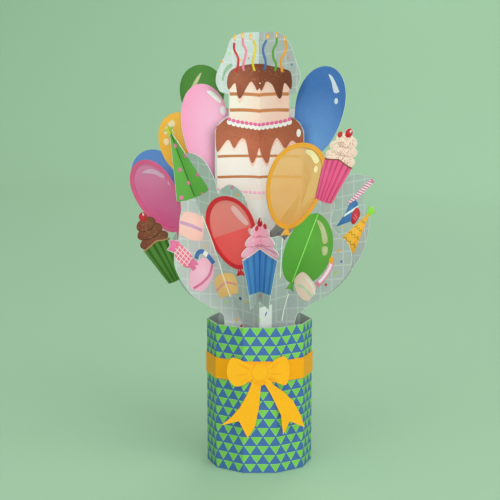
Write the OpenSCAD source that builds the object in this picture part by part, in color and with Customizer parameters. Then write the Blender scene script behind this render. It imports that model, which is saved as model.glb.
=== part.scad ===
// Pop-up card: a party bouquet of balloons, a cake, cupcakes and sweets in a folded paper vase.
// Millimetres, +Z up, the front of the card faces -Y.
// The origin is the middle of the underside of the vase, on the table.
// Each sheet is drawn flat, about the point where its folds meet, and then folded on its score lines.

/* [Vase] */
// Radius over the corners of the vase
vase_radius = 32; // [26:0.5:40]
// Height of the vase
vase_height = 88; // [70:1:110]
// Thickness of the vase card
card = 0.5; // [0.3:0.05:0.8]
// Width of the glue flap that closes the tube
seam_width = 8; // [5:0.5:12]
// Height of the glue flaps of the floor
floor_flap = 10; // [6:1:20]
// Width of the flaps that hold the sheets on the wall, to either side of a corner
flap_width = 8; // [5:0.5:9]

/* [Ribbon] */
// Width of the band around the vase
band_width = 12.5; // [8:0.5:20]
// Distance from the rim down to the band
band_drop = 20.2; // [10:0.2:40]
// Thickness of the band and of the bow
ribbon_card = 0.4; // [0.3:0.05:0.6]

/* [Sheets] */
// Thickness of the folded sheets
paper = 0.4; // [0.3:0.05:0.5]
// Thickness of the film in the window balloons
film = 0.2; // [0.1:0.05:0.3]
// Depth below the rim of the point where the folds meet
apex_depth = 31; // [26:1:36]
// That point's distance behind the axis of the vase
apex_back = -2; // [-5:0.5:3]
// Step from one sheet to the next, measured front to back
sheet_step = 0.9; // [0.9:0.05:1.4]
// Tilt of the side folds, seen from the front
ridge_tilt = 20.3; // [18:0.1:22]
// Lean of the front fold forwards and of the cake's fold backwards
fan_lean = 14.6; // [12:0.1:16]
// Half angle that the front cupcake is folded by
cupcake_turn = 52; // [40:1:60]
// Fold of the front sheet's wings, towards the viewer
wing_fold = 74; // [60:1:80]
// Fold of the cake sheet's side panels, away from the viewer
side_fold = 68; // [60:1:76]
// Fold of the cake sheet's outermost flaps, towards the viewer
flap_fold = 62; // [40:1:70]
// Extra lean of the balloon sheet behind the cake
balloon_lean = 2.5; // [2:0.1:4]
// Extra lean of the rear sheet
rear_lean = 4.5; // [4.2:0.1:7]
// Half angle that the rear sheet is folded by
rear_turn = 5; // [2:0.5:8]

/* [Balloons] */
// Red ring balloon: width and height
red_size = [36, 46];
// Orange ring balloon: width and height
orange_size = [43, 53];
// Magenta ring balloon: width and height
magenta_size = [31, 49];
// Green balloon on the front sheet's right fold: width and height
green_size = [35, 45.4];
// Part of the green balloon's width that lies left of the fold
green_left = 0.445; // [0.4:0.005:0.6]
// Pink balloon behind the cake: width and height
pink_size = [35, 59];
// Blue balloon behind the cake: width and height
blue_size = [35.5, 56];
// Rear balloons, dark green, yellow and blue: width and height
rear_size = [28, 41];
// Width of the ring around a window
ring = 2.7; // [2:0.1:4]
// Width and height of a balloon's knot
knot = [7, 5];

/* [Party pieces] */
// Party hat: half width of the base and height
hat_size = [13, 39];
// Front cupcake: half width at the top and at the foot of its wrapper, and its height
cupcake_size = [16.5, 10.8, 24];
// Tall cupcake on the front sheet: the same three sizes
tall_cupcake_size = [11, 6.5, 24];
// Side cupcake on the cake sheet: the same three sizes
side_cupcake_size = [10.5, 5.5, 25];
// Half widths of the top tier and of the lower tier of the cake
tiers = [22.8, 32.8];
// Foot and top of the lower tier, then of the top tier, on the flat sheet
tier_levels = [105, 144, 148, 182];
// Candle on the side panel: width and length
candle_size = [3.4, 21.6];
// Small hat: half width of the base and height
small_hat_size = [7.6, 25.3];

/* [Clearances] */
// Glue line between a flap and the wall it is stuck to
glue = 0.15; // [0.1:0.05:0.3]
// Gap around the floor of the vase
floor_gap = 0.25; // [0.15:0.05:0.5]

/* [Hidden] */
vase_sides = 10;
$fn = 48;
half_side = 180 / vase_sides;
wall_out = vase_radius * cos(half_side);
wall_in = wall_out - card;
apex_z = vase_height - apex_depth;
far = 400;
balloon_taper = 0.16;

// The side folds of the front sheet and of the cake sheet meet in one upright plane.
ridge = [tan(ridge_tilt), 0, 1] / norm([tan(ridge_tilt), 0, 1]);
spine = [0, -sin(fan_lean), cos(fan_lean)];
ridge_flat = acos(ridge * spine);
ridge_out = ridge - (ridge * spine) * spine;
ridge_turn = atan2(ridge_out * [0, cos(fan_lean), sin(fan_lean)], ridge_out[0]);

// A score line is [x, y, tilt, bend]: a point on it, its tilt from upright, the bend beyond it.
// A sheet is [step, lean, score lines of the left half, score lines of the right half].
side_score_left = [75, 68, 33, flap_fold];
side_score_right = [66, 66, 37, flap_fold];
cupcake_fold = [-1, -fan_lean, [[0, 0, 0, cupcake_turn]], [[0, 0, 0, cupcake_turn]]];
front_half = [[0, 0, 0, -ridge_turn], [0, 0, ridge_flat, wing_fold]];
front_fold = [0, -fan_lean, front_half, front_half];
cake_half = [[0, 0, 0, ridge_turn], [0, 0, ridge_flat, -side_fold]];
cake_fold = [1, fan_lean, concat(cake_half, [side_score_left]), concat(cake_half, [side_score_right])];
balloon_fold = [2, fan_lean + balloon_lean, [[0, 0, 0, ridge_turn]], [[0, 0, 0, ridge_turn]]];
rear_fold = [3, fan_lean + rear_lean, [[0, 0, 0, rear_turn]], [[0, 0, 0, rear_turn]]];

// Places of the balloons in their flat sheets: [x, y, lean to the right].
red_at = [-20, 84.8, -14.5];
orange_at = [25.5, 113.2, 13.3];
magenta_at = [-73.6, 97.3, -37];
green_along = 79;
pink_at = [-39.4, 143.6, -5.5];
blue_at = [44.3, 155.5, 11.1];
dark_green_at = [-36.3, 173, -3.3];
yellow_at = [-49.1, 141.2, -8.1];
far_blue_at = [-65.6, 116.4, -10.1];

// Shapes

// Closed smooth curve through the points, n steps to a span.
function smooth(p, n = 5) = [
    for (i = [0:len(p) - 1], k = [0:n - 1])
        let (
            t = k / n,
            a = p[(i + len(p) - 1) % len(p)],
            b = p[i],
            c = p[(i + 1) % len(p)],
            d = p[(i + 2) % len(p)]
        )
        b + t * (c - a) / 2 + t * t * (a - 2.5 * b + 2 * c - d / 2) + t * t * t * (1.5 * (b - c) + (d - a) / 2)
];

function turning(p) = [for (i = [0:len(p) - 1]) cross(p[i], p[(i + 1) % len(p)])] * [for (q = p) 1];

// The same outline, listed anticlockwise.
function anticlockwise(p) = turning(p) < 0 ? [for (i = [len(p) - 1:-1:0]) p[i]] : p;

module outline(p) polygon(anticlockwise(p));

function mirrored(p) = [for (i = [len(p) - 1:-1:0]) [-p[i][0], p[i][1]]];

// Ovals and balloons have a short level edge at the top and at the bottom, where a fold can cross them.
function oval(rx, ry, n = 28) = [for (i = [0.5:n - 0.5]) [rx * sin(360 * i / n), ry * cos(360 * i / n)]];

function balloon_outline(s, n = 48) = [
    for (i = [0.5:n - 0.5])
        let (t = 360 * i / n)
        [s[0] / 2 * sin(t) * (1 + balloon_taper * cos(t)), s[1] / 2 * cos(t)]
];

module at(p) translate([p[0], p[1]]) rotate(-p[2]) children();

module along(tilt, r) rotate(-tilt) translate([0, r]) children();

module balloon(s) {
    outline(balloon_outline(s));
    balloon_knot(s);
}

// A plain oval balloon, wider on one side of the fold it lies on.
module fold_balloon(s, left, n = 48) {
    outline([
        for (i = [0.5:n - 0.5])
            let (t = 360 * i / n)
            [s[0] * sin(t) * (sin(t) > 0 ? 1 - left : left), s[1] / 2 * cos(t)]
    ]);
    balloon_knot(s);
}

module balloon_knot(s)
    outline([
        [-0.9, 0.8 - s[1] / 2], [0.9, 0.8 - s[1] / 2],
        [knot[0] / 2, -s[1] / 2 - knot[1] + 0.6], [0.8, -s[1] / 2 - knot[1] + 1.4],
        [-0.8, -s[1] / 2 - knot[1] + 1.4], [-knot[0] / 2, -s[1] / 2 - knot[1] + 0.6]
    ]);

module window(s, inset) outline(balloon_outline(s - 2 * [inset, inset]));

module star(r) outline([for (i = [0:9]) (i % 2 == 0 ? r : 0.48 * r) * [sin(36 * i), cos(36 * i)]]);

// Cone hat with a curved hem, from its hem up, and a star on its tip.
module party_hat(s) {
    hem = [for (i = [0:9]) let (u = 1 - i / 4.5) [u * s[0], -0.16 * s[0] * (1 - u * u)]];
    outline(concat([[0.7, s[1]]], hem, [[-0.7, s[1]]]));
    translate([0, s[1] + 2]) star(4.2);
}

// Cupcake from the foot of its wrapper up: wrapper, three rolls of frosting and a cherry.
// The upper rolls are given as parts of the width of the wrapper.
module cupcake(s, rolls = [0.84, 0.54]) {
    foot = [for (i = [0:7]) let (u = i / 3.5 - 1) [u * s[1], 0.14 * s[1] * (u * u - 1)]];
    outline(concat([[-s[0], s[2]]], foot, [[s[0], s[2]], [0, s[2] + 2]]));
    translate([0, s[2] + 3.2]) outline(oval(1.06 * s[0], 4.6));
    translate([0, s[2] + 9]) outline(oval(rolls[0] * s[0], 4.6));
    translate([0, s[2] + 14]) outline(oval(rolls[1] * s[0], 4.4));
    translate([0, s[2] + 19]) outline(oval(2.9, 2.9));
}

// Folding

module beyond(f) translate([f[0], f[1]]) rotate(-f[2]) translate([0, -far]) square([far, 2 * far]);

module before(f) translate([f[0], f[1]]) rotate(-f[2]) translate([-far, -far]) square([far, 2 * far]);

module score(f)
    translate([f[0], f[1], 0]) rotate([0, 0, -f[2]]) rotate([0, -f[3], 0]) rotate([0, 0, f[2]])
        translate([-f[0], -f[1], 0]) children();

// The panels of a right half, drawn flat by the children, each folded about its score line.
module panels(f, i = 0) {
    last = i + 1 == len(f);
    score(f[i]) {
        linear_extrude(paper, center = true)
            intersection() {
                children();
                beyond(f[i]);
                before(last ? [far / 2, 0, 0, 0] : f[i + 1]);
            }
        if (!last) panels(f, i + 1) children();
    }
}

module to_panel(f, last, i = 0) score(f[i]) {
    if (i < last) to_panel(f, last, i + 1) children();
    else children();
}

module stand(s)
    translate([0, apex_back + s[0] * sheet_step, apex_z]) rotate([90 - s[1], 0, 0]) children();

module folded(s) stand(s) {
    panels(s[3]) children();
    mirror([1, 0, 0]) panels(s[2]) mirror([1, 0]) children();
}

// Film stuck behind a window of the given panel.
module behind_panel(s, side, i) {
    back = paper / 2 + glue + film;
    stand(s)
        if (side > 0)
            to_panel(s[3], i) translate([0, 0, -back]) linear_extrude(film) children();
        else
            mirror([1, 0, 0]) to_panel(s[2], i)
                translate([0, 0, -back]) linear_extrude(film) mirror([1, 0]) children();
}

// Ten-sided prism with a flat side to the front, by the distance to its sides.
module prism(apothem, h)
    rotate(-90 + half_side) cylinder(r = apothem / cos(half_side), h = h, $fn = vase_sides);

// Glue flaps on the inside of the wall, on both sides of the corners at the given angle from the front.
module corner_flaps(way, z0, z1) {
    edge = (wall_in - glue) * tan(half_side);
    intersection() {
        for (k = [-1, 1], m = [-1, 1])
            rotate(k * way + m * half_side) translate([-m * edge, -wall_in + glue + paper / 2, (z0 + z1) / 2])
                cube([2 * flap_width, paper, z1 - z0], center = true);
        prism(wall_in - glue, vase_height);
    }
}

// Flat outlines

module cupcake_blank() {
    along(0, 53.5) cupcake(cupcake_size);
    outline([[-10.6, 54.5], [-8.8, 43], [0, 46], [8.8, 43], [10.6, 54.5]]);
}

module front_blank() {
    left_wing = [
        [4, 26], [-10, 24], [-24, 26], [-27, 32], [-37, 36.6], [-48, 42], [-55.7, 50], [-60.4, 58], [-61.3, 65],
        [-58.5, 75.5], [-57.6, 88], [-56.6, 94], [-58, 104], [-58.4, 116], [-54, 126.5], [-49.6, 129.2],
        [-44.4, 128.6], [-39.3, 126], [-35.2, 121], [-31.8, 114.6], [-29.6, 107.8], [-20, 96], [-6, 80], [2, 58],
        [5, 40]
    ];
    lobe = [
        [-29, 107.6], [-26, 112.2], [-20.9, 115.2], [-15.3, 113.8], [-10.9, 109.9], [-8.8, 103.3], [-7.6, 97],
        [-4, 90], [-12, 84], [-26, 95]
    ];
    middle = [[-14, 26], [-12, 50], [-8, 78], [0, 87], [8, 84.5], [16, 83], [21, 70], [17, 45], [14, 26]];
    right_wing = [
        [-4, 26], [10, 24], [24, 26], [27.2, 32], [32.6, 35.3], [38.1, 38.4], [46.9, 42.2], [55.5, 48.2],
        [62, 54.4], [65.2, 59.7], [65.8, 65.2], [64.3, 70.9], [61.1, 75.2], [57.4, 77.8], [51, 86], [54, 96],
        [50, 108], [40, 106], [33, 93], [22, 84], [10, 70], [2, 50]
    ];
    sweet_end = [
        [-57, 75], [-62.2, 75], [-65.4, 74.4], [-64.2, 71.6], [-66.4, 68.6], [-63, 67.4], [-57, 66]
    ];
    tabs = [
        [-46, -6], [-18, 7], [18, 7], [46, -6], [46, 6], [25.2, 16], [25.6, 29], [-25.6, 29], [-25.2, 16],
        [-46, 6]
    ];
    difference() {
        union() {
            for (p = [left_wing, lobe, middle, right_wing]) outline(smooth(p));
            outline(sweet_end);
            outline(tabs);
            along(-ridge_flat, 114) party_hat(hat_size);
            along(ridge_flat, 110.2) cupcake(tall_cupcake_size, [0.98, 0.76]);
            along(ridge_flat, green_along) fold_balloon(green_size, green_left);
            at(red_at) balloon(red_size);
            at(orange_at) balloon(orange_size);
        }
        at(red_at) window(red_size, ring);
        at(orange_at) window(orange_size, ring);
    }
}

module cake_blank() {
    stem = [
        [-4, 10], [4, 10], [12, 34], [15, 60], [30, 92], [32, 108], [-32, 108], [-30, 92], [-15, 60], [-12, 34]
    ];
    candle_card = [
        [-23, 168], [-31, 171.5], [-32.2, 178], [-29, 186], [-25.3, 193], [-21.5, 203], [-14, 208], [-6, 210],
        [0, 211], [8, 210], [17, 207], [24, 198], [27.5, 188], [30.5, 179], [28, 171.5], [23, 168]
    ];
    left_side = [
        [-8, 42], [-20, 42], [-32, 37], [-46, 36], [-57, 44], [-61, 55], [-64, 66], [-60, 77], [-51, 86],
        [-47, 100], [-41, 106], [-28, 92], [-14, 64]
    ];
    right_side = [
        [8, 42], [20, 42], [32, 37], [46, 37], [60, 45], [68, 54], [74, 62], [77.5, 71.4], [79.2, 79.5],
        [78.2, 87], [75.2, 94], [76.4, 99.8], [80, 106.4], [79, 109.2], [73.4, 111.4], [66.6, 112.6], [57, 109],
        [50, 106], [44, 105], [28, 92], [14, 64]
    ];
    shoulder = [
        [-tiers[1], tier_levels[1] - 4], [tiers[1], tier_levels[1] - 4], [tiers[1], tier_levels[1]],
        [tiers[1] - 3.4, tier_levels[1] + 6], [tiers[0] + 0.4, tier_levels[1] + 10.4],
        [-tiers[0] - 0.4, tier_levels[1] + 10.4], [-tiers[1] + 3.4, tier_levels[1] + 6],
        [-tiers[1], tier_levels[1]]
    ];
    slot = [
        [-26.6, 176.4], [-25.6, 180], [-23.4, 183.2], [-20.2, 186.2], [-20.8, 187.8], [-24.2, 186], [-27, 181.4],
        [-28.1, 176.4]
    ];
    difference() {
        union() {
            outline(stem);
            translate([-tiers[1], tier_levels[0]]) square([2 * tiers[1], tier_levels[1] - tier_levels[0]]);
            outline(shoulder);
            translate([-tiers[0], tier_levels[2]]) square([2 * tiers[0], tier_levels[3] - tier_levels[2]]);
            outline(smooth(candle_card));
            outline(smooth(left_side));
            outline(smooth(right_side));
            at(magenta_at) balloon(magenta_size);
            at([-side_score_left[0], side_score_left[1], -side_score_left[2]])
                translate([0, -27]) cupcake(side_cupcake_size, [0.94, 0.72]);
            at([74, 101, 54]) party_candle();
            at([62.3, 66.6, 42.4]) party_hat(small_hat_size);
        }
        at(magenta_at) window(magenta_size, ring);
        outline(smooth(slot));
    }
}

module party_candle() translate([-candle_size[0] / 2, 9.6 - candle_size[1]]) square(candle_size);

module balloon_blank() {
    side = [
        [0, 20], [9, 16], [14, 40], [28, 88], [42, 124], [50, 148], [36, 158], [14, 160], [0, 148]
    ];
    outline(smooth(side));
    outline(smooth(mirrored(side)));
    outline([[-5, 10], [5, 10], [8, 30], [-8, 30]]);
    at(pink_at) balloon(pink_size);
    at(blue_at) balloon(blue_size);
}

module rear_blank() {
    fan = [
        [10, 14], [17, 40], [19, 80], [14, 120], [0, 136], [-18, 150], [-34, 160], [-46, 152], [-56, 132],
        [-58, 110], [-42, 80], [-20, 40], [-10, 14]
    ];
    outline(smooth(fan));
    outline([[-52, 6], [52, 6], [52, 18], [12, 21], [-12, 21], [-52, 18]]);
    at(dark_green_at) balloon(rear_size);
    at(yellow_at) balloon(rear_size);
    at(far_blue_at) balloon(rear_size);
}

// Everything outside the inner face of the vase, up to just under the rim, where tabs are cut to the wall.
module wall_zone() difference() {
    prism(4 * vase_radius, vase_height - 2);
    translate([0, 0, -1]) prism(wall_in - glue - paper / 2, vase_height);
}

// Sub-parts

module vase() color("#7fb35a") {
    difference() {
        prism(wall_out, vase_height);
        translate([0, 0, -1]) prism(wall_in, vase_height + 2);
    }
    rotate(180) translate([wall_out * tan(half_side) - seam_width - 2, -wall_in - 0.05, 2 * card])
        cube([seam_width, card + 0.05, vase_height - 2 * card]);
}

module vase_floor() color("#cfd8d2") {
    prism(wall_in - floor_gap, card);
    for (way = [36, -36, 108, -108])
        rotate(way) translate([-7, -wall_in + floor_gap, 0]) cube([14, card, floor_flap]);
}

module ribbon_band() color("#f7ae14")
    translate([0, 0, vase_height - band_drop - band_width]) difference() {
        prism(wall_out + glue + ribbon_card, band_width);
        translate([0, 0, -1]) prism(wall_out + glue, band_width + 2);
    }

module ribbon_bow() color("#ffb91c")
    translate([0, -wall_out - 2 * (glue + ribbon_card), vase_height - band_drop - band_width / 2])
        rotate([90, 0, 0]) translate([0, 0, -ribbon_card]) linear_extrude(ribbon_card) bow_outline();

module bow_outline() {
    loop_left = [
        [1.5, 3.2], [-4.8, 4.2], [-8.5, 5.8], [-12.7, 7.9], [-17, 8.4], [-19.4, 2.1], [-18.6, -3.8],
        [-14.6, -8.4], [-9.5, -7.6], [-5.2, -4.5], [1.5, -2.6]
    ];
    loop_right = [
        [-1.5, 3.2], [5.5, 4.7], [8.3, 7], [11.4, 8.8], [14.9, 9.3], [17.4, 3.9], [17.2, -3.6], [15.2, -7.6],
        [10.7, -6.6], [6.3, -3.8], [-1.5, -2.6]
    ];
    tail_left = [
        [-3.2, -1.5], [-4.6, -6], [-7.1, -12.9], [-11.8, -21.4], [-17, -27.5], [-23, -32.2], [-12.3, -29.6],
        [-7.2, -40], [-2.9, -33], [-0.6, -22.3], [0.9, -6.4], [2.2, -1.8]
    ];
    tail_right = [
        [3.2, -1.5], [8, -7.6], [14.2, -12], [19.8, -17.6], [23.8, -25.1], [26.6, -33.3], [17.8, -29.6],
        [13.9, -38], [12.6, -26], [6.9, -13.9], [2.4, -6.4], [-2.2, -1.8]
    ];
    outline(oval(5.3, 5.8));
    for (p = [smooth(loop_left), smooth(loop_right), tail_left, tail_right]) outline(p);
}

module cupcake_sheet() color("#5b95cf") folded(cupcake_fold) cupcake_blank();

module front_sheet() color("#c3d8cc") {
    difference() {
        folded(front_fold) front_blank();
        wall_zone();
    }
    corner_flaps(54, apex_z + 6, apex_z + 22);
}

module cake_sheet() color("#f4e6cf") folded(cake_fold) cake_blank();

module balloon_sheet() color("#e9b8d0") folded(balloon_fold) balloon_blank();

module rear_sheet() color("#b9ccc2") {
    difference() {
        folded(rear_fold) rear_blank();
        wall_zone();
    }
    corner_flaps(90, apex_z + 5, apex_z + 19);
}

module red_window() color("#e0605c")
    behind_panel(front_fold, -1, 0) at(red_at) window(red_size, ring - 1.3);

module orange_window() color("#efb04a")
    behind_panel(front_fold, 1, 0) at(orange_at) window(orange_size, ring - 1.3);

module magenta_window() color("#c85a8a")
    behind_panel(cake_fold, -1, 1) at(magenta_at) window(magenta_size, ring - 1.3);

vase();
vase_floor();
ribbon_band();
ribbon_bow();
cupcake_sheet();
front_sheet();
cake_sheet();
balloon_sheet();
rear_sheet();
red_window();
orange_window();
magenta_window();
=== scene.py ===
"""Pop-up card: print, finishes, light and camera for the folded sheets and their vase."""
import logging
import math
import random
from dataclasses import dataclass, replace
from enum import Enum
from typing import ClassVar, Protocol

import bmesh
import bpy
from mathutils import Matrix, Vector


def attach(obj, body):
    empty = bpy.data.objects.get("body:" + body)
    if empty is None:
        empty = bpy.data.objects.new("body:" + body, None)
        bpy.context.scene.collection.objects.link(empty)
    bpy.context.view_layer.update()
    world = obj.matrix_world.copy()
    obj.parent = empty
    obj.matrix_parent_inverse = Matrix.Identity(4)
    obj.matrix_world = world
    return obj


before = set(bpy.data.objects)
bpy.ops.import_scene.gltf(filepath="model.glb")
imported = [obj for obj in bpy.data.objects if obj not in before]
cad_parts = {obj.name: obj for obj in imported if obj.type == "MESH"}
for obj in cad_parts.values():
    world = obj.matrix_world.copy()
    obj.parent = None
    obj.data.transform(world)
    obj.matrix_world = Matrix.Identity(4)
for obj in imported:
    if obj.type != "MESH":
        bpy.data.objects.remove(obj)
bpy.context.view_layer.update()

LOG = logging.getLogger("scene")
MM = 0.001
# In millimetres: the sheets' thickness, the lowest print's height over them, the step to the next print.
PAPER = 0.4
INK_LIFT = 0.02
INK_STEP = 0.015
# Roughness of the inks, and how fast their painted shade deepens away from their painted light spot.
INK_ROUGH = 0.58
INK_SHADE_REACH = 1.35
Point = tuple[float, float]
Outline = list[Point]
Rgb = tuple[int, int, int]
Bit = tuple[float, float, float, float, float, "Ink"]


# ---------------------------------------------------------------- colour

def linear(rgb: Rgb) -> tuple[float, float, float, float]:
    """Turn a screen colour into a linear one.

    Args:
        rgb: Screen colour, 0 to 255.

    Returns:
        Linear red, green, blue and an alpha of one.
    """
    parts = [c / 255 for c in rgb]
    bent = [c / 12.92 if c <= 0.04045 else ((c + 0.055) / 1.055) ** 2.4 for c in parts]
    return (bent[0], bent[1], bent[2], 1.0)


def toned(rgb: Rgb, factor: float) -> Rgb:
    """Lighten or darken a colour.

    Args:
        rgb: Screen colour, 0 to 255.
        factor: Above one lightens towards white, below one darkens.

    Returns:
        The toned colour.
    """
    if factor <= 1:
        return tuple(int(c * factor) for c in rgb)
    return tuple(int(c + (255 - c) * (factor - 1)) for c in rgb)


@dataclass(frozen=True)
class Grain:
    """Scales and strengths of the grain of uncoated paper."""

    cloud: float = 140.0
    cloud_detail: float = 3.0
    fibre: float = 900.0
    tooth: float = 3600.0
    raised: float = 0.12
    depth: float = 0.00005
    gloss: float = 0.25


class Shader:
    """Adds linked nodes to one material."""

    grain: Grain = Grain()

    def __init__(self, name: str) -> None:
        """Start a material.

        Args:
            name: Name of the material.
        """
        self.material = bpy.data.materials.new(name)
        self.material.use_nodes = True
        self.tree = self.material.node_tree
        self.surface = self.tree.nodes["Principled BSDF"]
        self.coord = self.tree.nodes.new("ShaderNodeTexCoord").outputs["Object"]
        self.normal = self.tree.nodes.new("ShaderNodeNewGeometry").outputs["True Normal"]

    def feed(self, socket: bpy.types.NodeSocket, value: object) -> None:
        """Link a socket, or set its constant.

        Args:
            socket: Input to fill.
            value: Another node's output, or a constant.
        """
        if isinstance(value, bpy.types.NodeSocket):
            self.tree.links.new(value, socket)
        else:
            socket.default_value = value

    def math(self, operation: str, *values: object) -> bpy.types.NodeSocket:
        """Add a maths node.

        Args:
            operation: Blender's name of the operation.
            values: Its inputs, sockets or numbers.

        Returns:
            The result.
        """
        node = self.tree.nodes.new("ShaderNodeMath")
        node.operation = operation
        for socket, value in zip(node.inputs, values):
            self.feed(socket, value)
        return node.outputs[0]

    def vector(self, operation: str, *values: object) -> bpy.types.Node:
        """Add a vector maths node.

        Args:
            operation: Blender's name of the operation.
            values: Its inputs, sockets or vectors.

        Returns:
            The node.
        """
        node = self.tree.nodes.new("ShaderNodeVectorMath")
        node.operation = operation
        for socket, value in zip(node.inputs, values):
            self.feed(socket, value)
        return node

    def dot(self, first: bpy.types.NodeSocket, second: object) -> bpy.types.NodeSocket:
        """Add a dot product of two vectors."""
        return self.vector("DOT_PRODUCT", first, second).outputs["Value"]

    def apart(self, first: bpy.types.NodeSocket, second: object) -> bpy.types.NodeSocket:
        """Add the distance between two places."""
        return self.vector("DISTANCE", first, second).outputs["Value"]

    def mix(self, factor: object, first: object, second: object) -> bpy.types.NodeSocket:
        """Blend two colours.

        Args:
            factor: Zero gives the first colour, one the second.
            first: Colour or socket.
            second: Colour or socket.

        Returns:
            The blend.
        """
        node = self.tree.nodes.new("ShaderNodeMix")
        node.data_type = "RGBA"
        self.feed(node.inputs["Factor"], factor)
        self.feed(node.inputs[6], first)
        self.feed(node.inputs[7], second)
        return node.outputs[2]

    def noise(self, scale: float, detail: float = 2.0) -> bpy.types.NodeSocket:
        """Add noise over the object.

        Args:
            scale: Scale of the noise.
            detail: Octaves.

        Returns:
            The noise value.
        """
        node = self.tree.nodes.new("ShaderNodeTexNoise")
        self.feed(node.inputs["Vector"], self.coord)
        node.inputs["Scale"].default_value = scale
        node.inputs["Detail"].default_value = detail
        return node.outputs["Fac"]

    def paper(self, colour: object, rough: float, mottle: float) -> bpy.types.Material:
        """Finish as uncoated paper: soft mottling and a fine tooth.

        Args:
            colour: Colour or socket.
            rough: Roughness.
            mottle: Strength of the mottling.

        Returns:
            The finished material.
        """
        grain = self.grain
        cloud = self.math("ADD", self.noise(grain.cloud, grain.cloud_detail), self.noise(grain.fibre))
        shade = self.math("MULTIPLY_ADD", cloud, 2 * mottle, 1 - 2 * mottle)
        node = self.vector("SCALE", colour[:3] if isinstance(colour, tuple) else colour)
        self.feed(node.inputs["Scale"], shade)
        self.feed(self.surface.inputs["Base Color"], node.outputs[0])
        self.feed(self.surface.inputs["Roughness"], rough)
        self.feed(self.surface.inputs["Specular IOR Level"], grain.gloss)
        bump = self.tree.nodes.new("ShaderNodeBump")
        bump.inputs["Strength"].default_value = grain.raised
        bump.inputs["Distance"].default_value = grain.depth
        self.feed(bump.inputs["Height"], self.noise(grain.tooth))
        self.feed(self.surface.inputs["Normal"], bump.outputs[0])
        return self.material


@dataclass(frozen=True)
class Tint:
    """A printed colour, with painted light and shade over each shape."""

    rgb: Rgb
    # Painted light and shade: a shape is lightened towards its sun spot, and away from it darkened by edge
    # or turned to the given shade colour.
    edge: float = 0.93
    painted_light: float = 1.06
    mottle: float = 0.05
    sun: Point = (0.6, 0.62)
    painted_shade: Rgb | None = None

    def material(self, name: str) -> bpy.types.Material:
        """Build the ink with painted light and shade: lightest at one place of a shape, deeper away from
        it.

        Args:
            name: Name of the material.

        Returns:
            The material, made once for each name.
        """
        done = bpy.data.materials.get(name)
        if done:
            return done
        shader = Shader(name)
        uv = shader.tree.nodes.new("ShaderNodeUVMap")
        uv.uv_map = "print"
        away = shader.apart(uv.outputs[0], (*self.sun, 0.0))
        reach = shader.math("MULTIPLY", away, INK_SHADE_REACH)
        reach.node.use_clamp = True
        # Colour of the painted shade away from the sun spot.
        rim = self.painted_shade or toned(self.rgb, self.edge)
        colour = shader.mix(reach, linear(toned(self.rgb, self.painted_light)), linear(rim))
        return shader.paper(colour, INK_ROUGH, self.mottle)


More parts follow.
